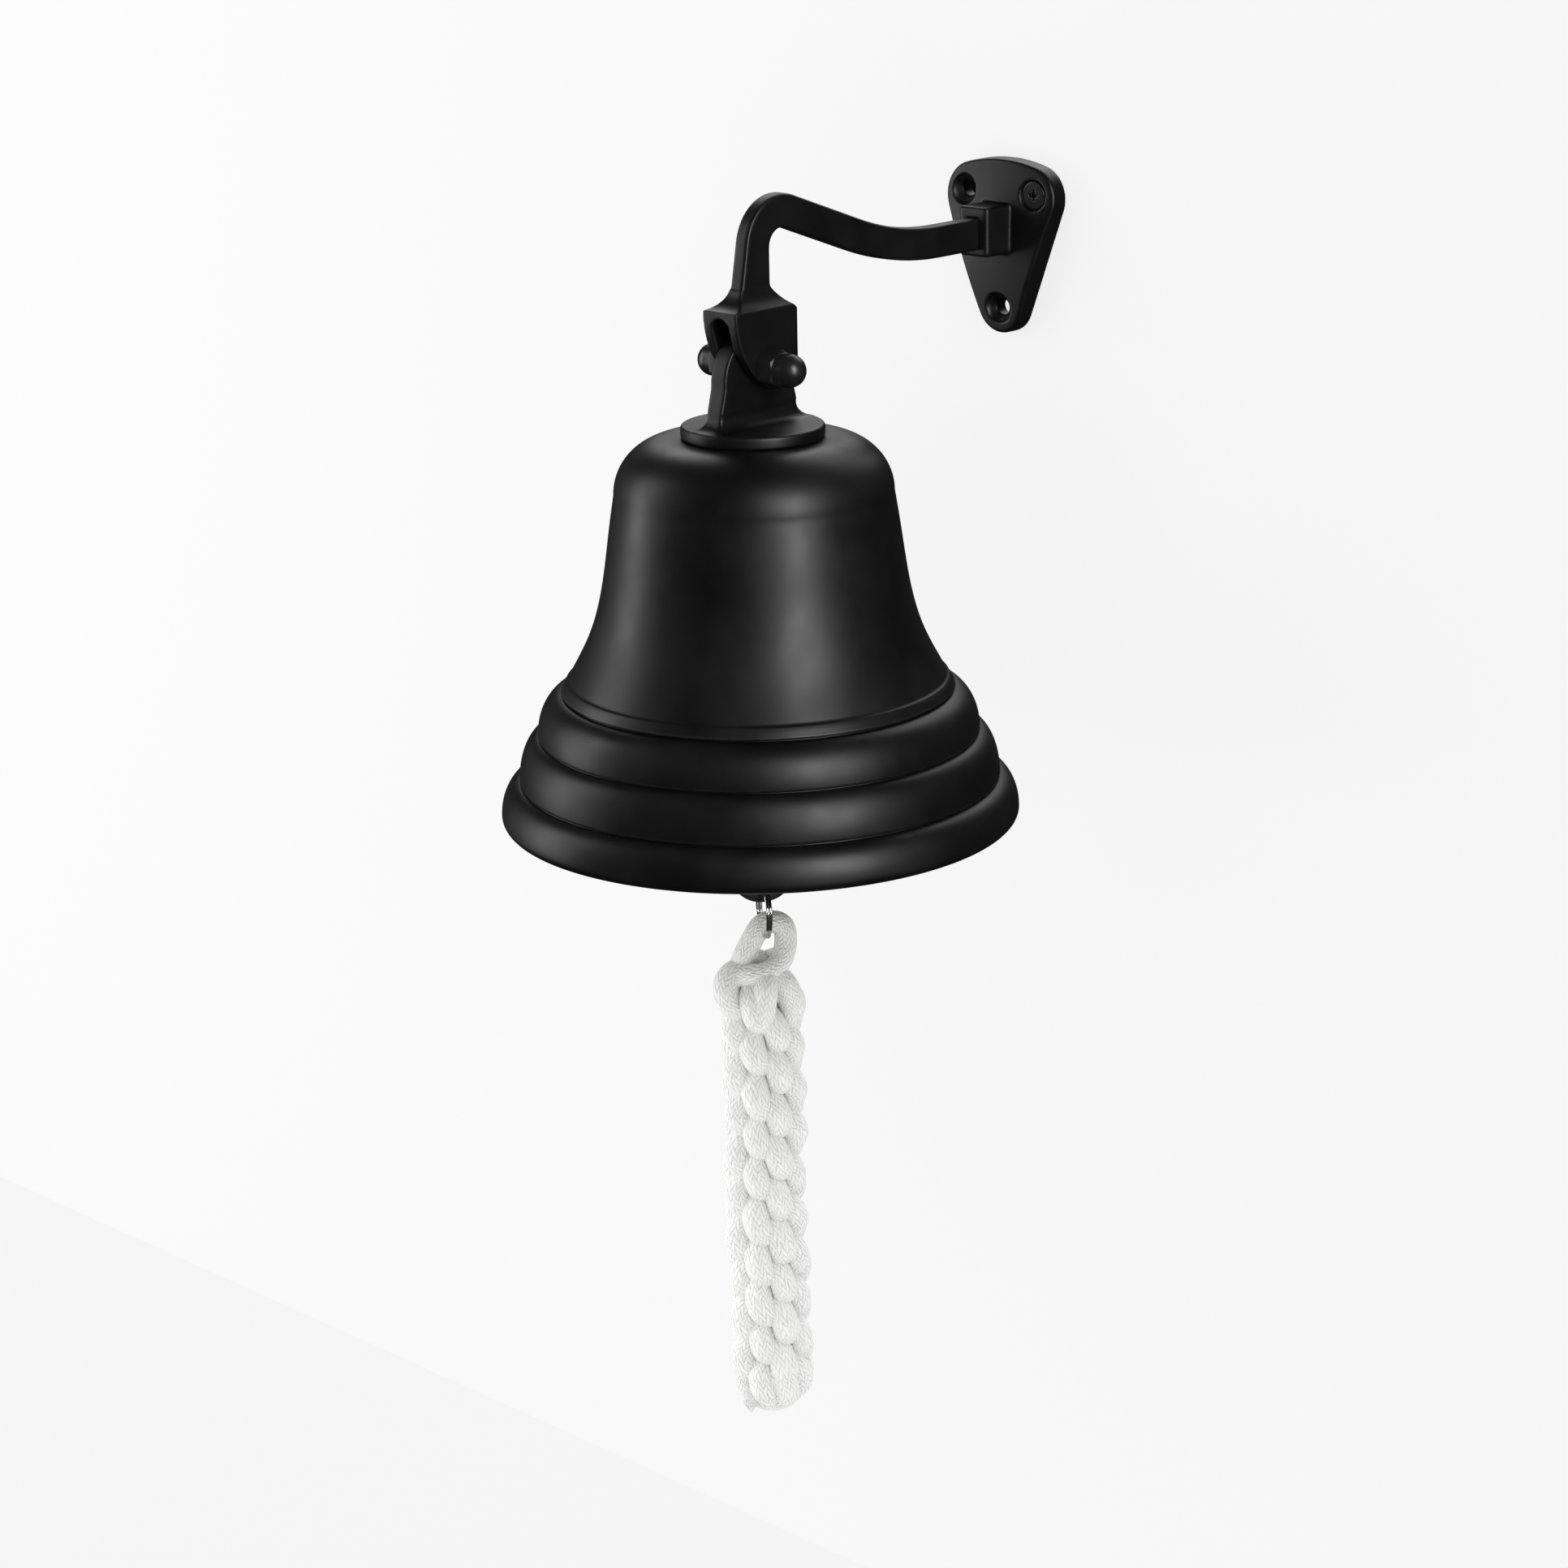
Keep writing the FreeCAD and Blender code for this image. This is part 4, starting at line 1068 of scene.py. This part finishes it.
@dataclass(frozen=True)
class Studio:
    """Pale floor and wall, a black disc of painted shade behind the open screw hole, soft boxes
    and an even surround.
    """

    floor_height: float = -0.47
    half_size: float = 6.0
    wall_gap: float = 0.0006
    # black disc on the wall behind the open screw hole: painted shade for the inside of the hole
    shade_disc_place: Pair = (-0.0133, 0.0230)
    shade_disc_radius: float = 0.0034
    shade_disc_albedo: float = 0.01
    shade_disc_sides: int = 32
    wall_glow: float = 0.79
    wall_albedo: float = 0.12
    floor_glow: float = 0.87
    floor_albedo: float = 0.03
    backdrop: float = 0.93
    ambient: float = 1.10
    mirrored: float = 0.023
    boxes: tuple[SoftBox, ...] = (
        SoftBox("left_strip", -104.0, 8.0, 1.1, 0.22, 1.0, 5.0),
        SoftBox("front_strip", 32.0, 18.0, 1.5, 0.28, 1.0, 21.0, gloss_only=True),
        SoftBox("overhead_box", 165.0, 38.0, 1.3, 1.4, 0.7, 8.0),
    )

    def pale(
        self, name: str, albedo: float, glow: float, see_through: bool
    ) -> bpy.types.Material:
        """Build the pale backdrop's material.

        Args:
            name: The material's name.
            albedo: How much of the light it gives back.
            glow: How much light it adds.
            see_through: True where the back of the sheet isn't to be seen.

        Returns:
            The material.
        """
        made = bpy.data.materials.new(name)
        sheet = emptied(made)
        paper = sheet.out("ShaderNodeBsdfDiffuse", {"Color": (albedo, albedo, albedo, 1.0)})
        lit = sheet.out("ShaderNodeEmission", {"Color": WHITE, "Strength": glow})
        surface = sheet.out("ShaderNodeAddShader", {0: paper, 1: lit})
        if see_through:
            clear = sheet.out("ShaderNodeBsdfTransparent")
            back = sheet.out("ShaderNodeNewGeometry", output="Backfacing")
            surface = sheet.out("ShaderNodeMixShader", {0: back, 1: surface, 2: clear})
        sheet.add("ShaderNodeOutputMaterial", {"Surface": surface})
        return made

    def panel(
        self,
        name: str,
        corners: list[Triple],
        albedo: float,
        glow: float,
        see_through: bool,
    ) -> None:
        """Make one flat panel of the stage, which lights and shades nothing.

        Args:
            name: The panel's name.
            corners: Its outline, anticlockwise from its front.
            albedo: How much of the light it gives back.
            glow: How much light it adds.
            see_through: True where its back isn't to be seen.
        """
        mesh = bpy.data.meshes.new(name)
        mesh.from_pydata(corners, [], [tuple(range(len(corners)))])
        mesh.materials.append(self.pale("pale_" + name, albedo, glow, see_through))
        thing = placed(name, mesh)
        thing.visible_diffuse = thing.visible_glossy = thing.visible_shadow = False

    def shade_disc_outline(self) -> list[Triple]:
        """Return the outline of the black disc behind the open screw hole, painted shade standing
        in for the dark inside of a drilled hole.
        """
        across, up = self.shade_disc_place
        size, depth = self.shade_disc_radius, self.wall_gap * 0.5
        turns = np.linspace(0.0, math.tau, self.shade_disc_sides, endpoint=False).tolist()
        return [(across + size * math.cos(a), depth, up + size * math.sin(a)) for a in turns]

    def build(self, view: Viewpoint) -> None:
        """Set up the stage, the lights and the surround.

        Args:
            view: The viewpoint that the lights are placed about.
        """
        half, low, gap = self.half_size, self.floor_height, self.wall_gap
        floor = [(-half, -half, low), (half, -half, low), (half, half, low), (-half, half, low)]
        wall = [(-half, gap, low), (half, gap, low), (half, gap, half), (-half, gap, half)]
        self.panel("floor", floor, self.floor_albedo, self.floor_glow, False)
        self.panel("wall", wall, self.wall_albedo, self.wall_glow, True)
        # painted shade: a black disc behind the open screw hole
        self.panel("painted_hole_shade", self.shade_disc_outline(), self.shade_disc_albedo, 0.0, True)
        for box in self.boxes:
            box.build(view)
        world = bpy.data.worlds.new("surround")
        sheet = emptied(world)
        path = sheet.add("ShaderNodeLightPath")
        strength = sheet.blend(path.outputs["Is Glossy Ray"], self.ambient, self.mirrored)
        strength = sheet.blend(path.outputs["Is Camera Ray"], strength, self.backdrop)
        sky = sheet.out("ShaderNodeBackground", {"Color": WHITE, "Strength": strength})
        sheet.add("ShaderNodeOutputWorld", {"Surface": sky})
        bpy.context.scene.world = world
        bpy.context.scene.view_settings.view_transform = "Standard"


@dataclass(frozen=True)
class Shop:
    """What the sub-assemblies are made with: viewpoint, finishes and trees."""

    view: Viewpoint
    wardrobe: Wardrobe
    strand: Tree
    braid: Tree
    turning: Tree

    def strung(
        self, name: str, points: np.ndarray, radii: np.ndarray, slot: Slot, sides: int, step: float
    ) -> Thing:
        """Wrap cord or wire round a line of points.

        Args:
            name: The new object's name.
            points: Points down its middle.
            radii: Its radius at each point.
            slot: Its finish.
            sides: How many sides it has.
            step: How long its rings of faces are.

        Returns:
            The finished object.
        """
        sizes = {"Sides": sides, "Step": step, "Material": self.wardrobe.materials[slot]}
        return grown(name, polyline(name + "_line", points, radii), self.strand, sizes)


# ---- the bracket -------------------------------------------------------------


def softened(node: str, voxel: float, passes: int, bored: bool = False) -> Thing:
    """Copy a CAD node and round its edges and corners as a casting's are.

    Args:
        node: The CAD node.
        voxel: The remesh's grid, in metres.
        passes: How many smoothing passes follow.
        bored: True where the pivot's bore goes through it and keeps its size.

    Returns:
        A new object that stands for the node.
    """
    thing = placed("soft_" + node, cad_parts[node].data.copy())
    work = bmesh.new()
    work.from_mesh(thing.data)
    bmesh.ops.remove_doubles(work, verts=work.verts, dist=WELD)
    work.to_mesh(thing.data)
    work.free()
    remesh = thing.modifiers.new("remesh", "REMESH")
    remesh.mode, remesh.voxel_size = "VOXEL", voxel
    remesh.use_smooth_shade = True
    settle(thing)
    across, up = PIVOT_LINE
    loose = [
        v.index
        for v in thing.data.vertices
        if not bored or math.hypot(v.co.y - across, v.co.z - up) > PIVOT_KEPT
    ]
    thing.vertex_groups.new(name="rounded").add(loose, 1.0, "REPLACE")
    smooth = thing.modifiers.new("smooth", "SMOOTH")
    smooth.factor, smooth.iterations = SMOOTHING, passes
    smooth.vertex_group = "rounded"
    settle(thing)
    thing.vertex_groups.clear()
    return thing


@dataclass
class Bracket:
    """Wall plate, swan-neck arm, pivot bolt, nuts and screws."""

    plate_voxel: float = 0.00028
    arm_voxel: float = 0.00030
    nut_voxel: float = 0.00018
    screw_voxel: float = 0.00014
    cast_passes: int = 18
    fine_passes: int = 5

    def build(self, shop: Shop) -> None:
        """Build and dress the bracket's pieces."""
        wardrobe = shop.wardrobe
        jobs = (
            ("wall_plate", self.plate_voxel, self.cast_passes, Slot.PAINT),
            ("bracket_arm", self.arm_voxel, self.cast_passes, Slot.PAINT),
            ("acorn_nut_right", self.nut_voxel, self.fine_passes, Slot.IRON),
            ("acorn_nut_left", self.nut_voxel, self.fine_passes, Slot.IRON),
            ("wall_screw", self.screw_voxel, self.fine_passes, Slot.SCREW),
        )
        for node, voxel, passes, slot in jobs:
            piece = softened(node, voxel, passes, bored=node == "bracket_arm")
            wardrobe.dress(piece, slot, Body.BRACKET, node)
        wardrobe.dress_nodes(Slot.ZINC, "arm_screw")
        wardrobe.dress_nodes(Slot.IRON, "pivot_bolt")


# ---- the bell ----------------------------------------------------------------


@dataclass
class Bell:
    """Turned shell, crown lug and the fittings inside the crown."""

    crown: float = 0.1124
    crown_thick: float = 0.0042
    hole: float = 0.0027
    shoulder: float = 0.0403
    shoulder_arc: float = 0.016
    waist: tuple[Pair, ...] = (
        (0.0418, 0.0870), (0.0442, 0.0710), (0.0484, 0.0555), (0.0545, 0.0434),
    )
    bead_foot: Pair = (0.0569, 0.0390)
    ledge: float = 0.00045
    ledge_start: float = 0.2
    ledge_rise: float = 0.1
    neck_run: tuple[float, ...] = (0.08, 0.2, 0.24, 0.28, 0.33, 0.6, 0.85, 0.97)
    rib_feet: tuple[Pair, ...] = ((0.0644, 0.0263), (0.0702, 0.0128))
    groove_in: float = 0.0006
    groove_down: float = 0.0005
    groove_corner: Pair = (0.6, 0.15)
    mouth: float = 0.0758
    lip: float = 0.0026
    mouth_inner: float = 0.0706
    inner_shoulder: float = 0.0369
    inner_shoulder_arc: float = 0.015
    inner_wall: tuple[Pair, ...] = (
        (0.0662, 0.0125), (0.0604, 0.0260), (0.0530, 0.0395),
        (0.0452, 0.0550), (0.0404, 0.0720),
    )
    crown_steps: int = 10
    arc_steps: int = 28
    waist_steps: int = 60
    rib_steps: int = 34
    lip_steps: int = 10
    inner_steps: int = 70
    inner_arc_steps: int = 20
    roof_steps: int = 8
    segments: int = 288
    lug_voxel: float = 0.00030
    lug_passes: int = 30

    @staticmethod
    def arc(centre: Pair, radii: Pair, ends: Pair, count: int) -> list[Pair]:
        """Run part of an ellipse.

        Args:
            centre: The ellipse's centre.
            radii: Its half-width and half-height.
            ends: First and last angle, in degrees.
            count: How many points.

        Returns:
            The points, both ends included.
        """
        angles = np.radians(np.linspace(*ends, count))
        return [
            (centre[0] + radii[0] * math.cos(a), centre[1] + radii[1] * math.sin(a))
            for a in angles
        ]

    def profile(self) -> list[Pair]:
        """Draw the shell's half-section.

        Returns:
            Closed (radius, height) pairs, down the outside and up the inside.
        """
        turn = self.shoulder - self.shoulder_arc
        base = self.crown - self.shoulder_arc
        flat = np.linspace(self.hole, turn, self.crown_steps)[:-1].tolist()
        points = [(r, self.crown) for r in flat]
        points += self.arc((turn, base), (self.shoulder_arc,) * 2, (90.0, 0.0), self.arc_steps)
        points += natural_curve([(self.shoulder, base), *self.waist], self.waist_steps)[1:]
        foot, last = self.bead_foot, self.waist[-1]
        for t in self.neck_run:
            rise = min(max((t - self.ledge_start) / self.ledge_rise, 0.0), 1.0) * self.ledge
            across = last[0] + (foot[0] - last[0]) * t + rise
            points.append((across, last[1] + (foot[1] - last[1]) * t))
        points.append(foot)
        for end in (*self.rib_feet, (self.mouth, self.lip)):
            start = (foot[0] - self.groove_in, foot[1] - self.groove_down)
            nick_in, nick_down = self.groove_corner
            nick_in, nick_down = self.groove_in * nick_in, self.groove_down * nick_down
            points.append((foot[0] - nick_in, foot[1] - nick_down))
            size = (end[0] - start[0], start[1] - end[1])
            points += self.arc((start[0], end[1]), size, (90.0, 0.0), self.rib_steps)
            foot = end
        edge = self.mouth - self.lip
        points += self.arc((edge, self.lip), (self.lip,) * 2, (0.0, -90.0), self.lip_steps)[1:]
        points.append(((edge + self.mouth_inner) / 2, 0.0))
        roof = self.crown - self.crown_thick
        base = roof - self.inner_shoulder_arc
        inside = [(self.mouth_inner, 0.0), *self.inner_wall, (self.inner_shoulder, base)]
        points += natural_curve(inside, self.inner_steps)
        turn = self.inner_shoulder - self.inner_shoulder_arc
        size = (self.inner_shoulder_arc,) * 2
        points += self.arc((turn, base), size, (0.0, 90.0), self.inner_arc_steps)[1:]
        flat = np.linspace(turn, self.hole, self.roof_steps)[1:].tolist()
        points += [(r, roof) for r in flat]
        return points

    def build(self, shop: Shop) -> None:
        """Build and dress the bell."""
        wardrobe = shop.wardrobe
        outline = np.array([(r, 0.0, z) for r, z in self.profile()])
        carrier = polyline("bell_outline", outline, np.zeros(len(outline)))
        sizes = {
            "Segments": self.segments,
            "Axis X": BELL_AXIS[0],
            "Axis Y": BELL_AXIS[1],
            "Base Height": RIM_HEIGHT,
            "Material": wardrobe.materials[Slot.PAINT],
        }
        shell = made_outward(grown("bell_shell", carrier, shop.turning, sizes))
        wardrobe.dress(shell, Slot.PAINT, Body.BELL, "bell_body")
        lug = softened("crown_lug", self.lug_voxel, self.lug_passes, bored=True)
        wardrobe.dress(lug, Slot.PAINT, Body.BELL, "crown_lug")
        wardrobe.dress_nodes(Slot.ZINC, "crown_washer", "crown_nut", "crown_eyebolt")


# ---- the clapper and its ring --------------------------------------------------


@dataclass
class Clapper:
    """Link, rod, ball and tail."""

    ball_voxel: float = 0.00032
    ball_passes: int = 6

    def build(self, shop: Shop) -> None:
        """Build and dress the clapper's chain."""
        wardrobe = shop.wardrobe
        ball = softened("clapper_ball", self.ball_voxel, self.ball_passes)
        wardrobe.dress(ball, Slot.IRON, Body.CLAPPER, "clapper_ball")
        wardrobe.dress_nodes(Slot.ZINC, "clapper_link")
        wardrobe.dress_nodes(Slot.IRON, "clapper_rod")


@dataclass
class SplitRing:
    """Two turns of spring wire, crossing over once, with both ends cut square."""

    radius: float = 0.0079
    wire: float = 0.00046
    spacing: float = 0.00094
    centre: float = -0.0304
    aside: float = 0.0004
    facing: float = math.radians(55.0)
    start: float = math.radians(118.0)
    cross: float = math.radians(38.0)
    short: float = math.radians(6.0)
    steps: int = 360
    sides: int = 18
    step: float = 0.0003

    def line(self, view: Viewpoint) -> np.ndarray:
        """Return the points down the middle of the wire, as hung for a viewpoint."""
        whole = 2 * math.tau - self.cross - self.short
        sweep = np.linspace(0.0, whole, self.steps)
        share = np.clip((sweep - (math.tau - self.cross)) / self.cross, 0.0, 1.0)
        offset = (share * share * (3 - 2 * share) - 0.5) * self.spacing
        angle = sweep + self.start
        out = np.array([math.cos(self.facing), math.sin(self.facing), 0.0])
        across = np.array([-math.sin(self.facing), math.cos(self.facing), 0.0])
        middle = np.array([*BELL_AXIS, RIM_HEIGHT + self.centre])
        middle += self.aside * view.right()
        return (
            middle
            + np.outer(offset, out)
            + np.outer(self.radius * np.cos(angle), across)
            + np.outer(self.radius * np.sin(angle), [0.0, 0.0, 1.0])
        )

    def build(self, shop: Shop) -> None:
        """Build and dress the ring."""
        points = self.line(shop.view)
        radii = np.full(len(points), self.wire)
        ring = shop.strung("split_ring_coil", points, radii, Slot.RING, self.sides, self.step)
        made_outward(ring)
        shop.wardrobe.dress(ring, Slot.RING, Body.RING, "split_ring")


# ---- the lanyard ---------------------------------------------------------------


@dataclass(frozen=True)
class Strand:
    """One length of cord laid along listed points: how far right, toward the viewer and up it
    goes.

    Its sizes are in millimetres.
    """

    name: str
    middle_radius: float
    end_radius: float
    points: tuple[Triple, ...]


@dataclass
class Lanyard:
    """Braided cotton lanyard: an eye, eight columns of lobes and a crowned end."""

    eye_middle: float = -0.0375
    route_heights: tuple[float, ...] = (
        -0.0311, -0.0440, -0.0570, -0.0780, -0.1030, -0.1300, -0.1560, -0.1830, -0.1945,
    )
    route_drift: tuple[float, ...] = (
        0.0006, -0.0004, -0.0012, -0.0008, -0.0008, -0.0010, 0.0004, 0.0000, 0.0000,
    )
    length: float = 0.1635
    diameter: float = 0.025
    rows: int = 10
    columns: int = 8
    first_height: float = -0.0587
    last_height: float = -0.1830
    pitch: float = 0.0136
    ring_radius: float = 0.0091
    lobe_length: float = 0.0146
    lobe_radius: float = 0.0041
    dip: float = 0.0074
    lean: float = 0.0012
    front_column: float = math.radians(-13.0)
    twist: float = math.radians(-60.0)
    lobe_sides: int = 20
    lobe_rings: int = 26
    seed: int = 4
    cord_sides: int = 22
    cord_step: float = 0.0007
    cord_taper: int = 4
    core_radius: float = 0.0064
    core_ends: Pair = (-0.0500, -0.1885)
    core_thinning: float = 0.55
    core_taper: int = 8
    core_sides: int = 24
    core_step: float = 0.002
    strands: tuple[Strand, ...] = field(default_factory=lambda: LAID_STRANDS)

    @staticmethod
    def place(view: Viewpoint, line: np.ndarray, point: Triple) -> np.ndarray:
        """Turn a strand's own point into the part's frame.

        Args:
            view: The viewpoint that right and toward belong to.
            line: Points down the middle of the lanyard.
            point: How far right of the middle, toward the viewer and up it is,
                in millimetres.

        Returns:
            The point in the part's frame.
        """
        across, near, up = (c * MILLIMETRE for c in point)
        height = up + RIM_HEIGHT
        order = np.argsort(line[:, 2])
        middle = [np.interp(height, line[order, 2], line[order, k]) for k in (0, 1)]
        return np.array([*middle, height]) + view.right() * across + view.toward() * near

    def route(self, view: Viewpoint) -> list[Triple]:
        """Return the route's control points, from the eye's top to the end."""
        found = []
        for height, drift in zip(self.route_heights, self.route_drift):
            point = np.array([*BELL_AXIS, RIM_HEIGHT + height]) + view.right() * drift
            found.append(tuple(float(c) for c in point))
        return found

    def laid(self, shop: Shop, line: np.ndarray, strand: Strand) -> Thing:
        """Lay one strand along its listed points.

        Args:
            shop: The viewpoint, finishes and trees.
            line: Points down the middle of the lanyard.
            strand: The strand.

        Returns:
            The strand's object.
        """
        path = smooth_line([tuple(self.place(shop.view, line, p)) for p in strand.points])
        middle, end = strand.middle_radius * MILLIMETRE, strand.end_radius * MILLIMETRE
        radii = middle + (end - middle) * np.linspace(-1.0, 1.0, len(path)) ** self.cord_taper
        sizes = (self.cord_sides, self.cord_step)
        return shop.strung(strand.name, path, radii, Slot.CORD, *sizes)

    def core(self, shop: Shop, line: np.ndarray) -> Thing:
        """Fill the braid's middle, which shows only down the gaps."""
        top, foot = self.core_ends
        kept = line[(line[:, 2] < RIM_HEIGHT + top) & (line[:, 2] > RIM_HEIGHT + foot)]
        share = np.linspace(-1.0, 1.0, len(kept)) ** self.core_taper
        radii = self.core_radius * (1.0 - self.core_thinning * share)
        return shop.strung("core", kept, radii, Slot.CORD, self.core_sides, self.core_step)

    def build(self, shop: Shop) -> None:
        view, wardrobe = shop.view, shop.wardrobe
        route = self.route(view)
        line = smooth_line(route)
        facing = math.atan2(view.toward()[1], view.toward()[0])
        sizes = {
            "Rows": self.rows,
            "Columns": self.columns,
            "Sides": self.lobe_sides,
            "Rings": self.lobe_rings,
            "Seed": self.seed,
            "First Height": RIM_HEIGHT + self.first_height,
            "Last Height": RIM_HEIGHT + self.last_height,
            "Top Of Route": RIM_HEIGHT + self.route_heights[0],
            "Foot Of Route": RIM_HEIGHT + self.route_heights[-1],
            "Pitch": self.pitch,
            "Ring Radius": self.ring_radius,
            "Lobe Length": self.lobe_length,
            "Lobe Radius": self.lobe_radius,
            "Dip": self.dip,
            "Lean": self.lean,
            "Phase": facing + self.front_column,
            "Twist": self.twist,
            "Material": wardrobe.materials[Slot.CORD],
        }
        carrier = polyline("lanyard_route", line, np.full(len(line), self.ring_radius))
        lobes = grown("lobes", carrier, shop.braid, sizes)
        parts = [self.laid(shop, line, s) for s in self.strands]
        parts.append(self.core(shop, line))
        lanyard = made_outward(joined("lanyard_braid", lobes, *parts))
        nodes = ("lanyard_eye", "lanyard_body", "lanyard_end")
        wardrobe.dress(lanyard, Slot.CORD, Body.LANYARD, *nodes)


LAID_STRANDS = (
    Strand("eye_loop", 3.4, 3.0, (
        (-5.0, -4.0, -56.0), (-7.0, -1.0, -51.0), (-6.2, 1.4, -45.5), (-3.6, 1.2, -39.4),
        (-0.4, 0.2, -33.6), (5.8, -0.4, -34.4), (7.0, 0.0, -40.2), (5.8, 3.0, -45.6),
        (1.8, 5.6, -48.2), (-3.6, 6.0, -48.6), (-7.8, 2.6, -50.0), (-8.6, -2.0, -53.5),
    )),
    Strand("left_shoulder", 4.2, 3.4, (
        (-3.0, 1.0, -47.8), (-7.6, 2.0, -48.4), (-10.3, 4.2, -51.2), (-10.6, 5.4, -54.5),
        (-8.6, 5.6, -58.5), (-5.0, 3.0, -62.2),
    )),
    Strand("front_shoulder", 3.8, 3.0, (
        (2.2, 3.0, -48.2), (1.4, 8.2, -50.6), (0.8, 9.4, -56.6), (0.2, 8.8, -62.0),
        (-0.6, 4.0, -66.2),
    )),
    Strand("right_shoulder", 3.6, 3.0, (
        (3.0, 3.0, -48.0), (6.2, 5.2, -50.0), (8.6, 4.8, -54.5), (9.2, 3.4, -59.2),
        (8.0, 2.2, -64.4), (5.4, 1.0, -68.0),
    )),
    Strand("back_shoulder", 3.8, 3.0, (
        (5.0, -3.0, -46.0), (2.0, -7.0, -49.0), (-3.0, -8.0, -53.5), (-6.0, -7.0, -59.0),
        (-7.0, -5.0, -64.0),
    )),
    Strand("back_right_shoulder", 3.7, 3.0, (
        (-3.0, -3.0, -46.0), (3.0, -6.0, -50.5), (7.0, -6.0, -56.0), (8.0, -5.0, -62.0),
    )),
    Strand("end_across", 3.4, 3.0, (
        (-8.4, 1.0, -177.0), (-8.8, 1.8, -182.2), (-5.8, 3.6, -187.4), (0.4, 4.6, -189.0),
        (5.8, 3.6, -186.8), (8.8, 1.6, -182.0), (8.4, 0.0, -177.0),
    )),
    Strand("end_under", 3.3, 3.0, (
        (1.0, 8.0, -178.0), (0.0, 7.6, -183.2), (-0.6, 2.0, -186.8), (0.0, -5.0, -186.8),
        (0.4, -8.4, -182.2), (0.0, -7.0, -177.0),
    )),
    Strand("cut_end", 1.7, 2.4, (
        (-3.0, 5.0, -185.0), (-5.2, 8.2, -186.8), (-7.8, 9.6, -188.0),
    )),
)


def main() -> None:
    """Build every sub-assembly in order."""
    logging.basicConfig(level=logging.INFO, format="%(name)s: %(message)s")
    view = Viewpoint()
    view.build()
    Studio().build(view)
    wardrobe = Wardrobe()
    shop = Shop(view, wardrobe, strand_tree(), braid_tree(), turning_tree())
    for assembly in (Lanyard(), SplitRing(), Clapper(), Bell(), Bracket()):
        assembly.build(shop)


if __name__ == "__main__":
    main()
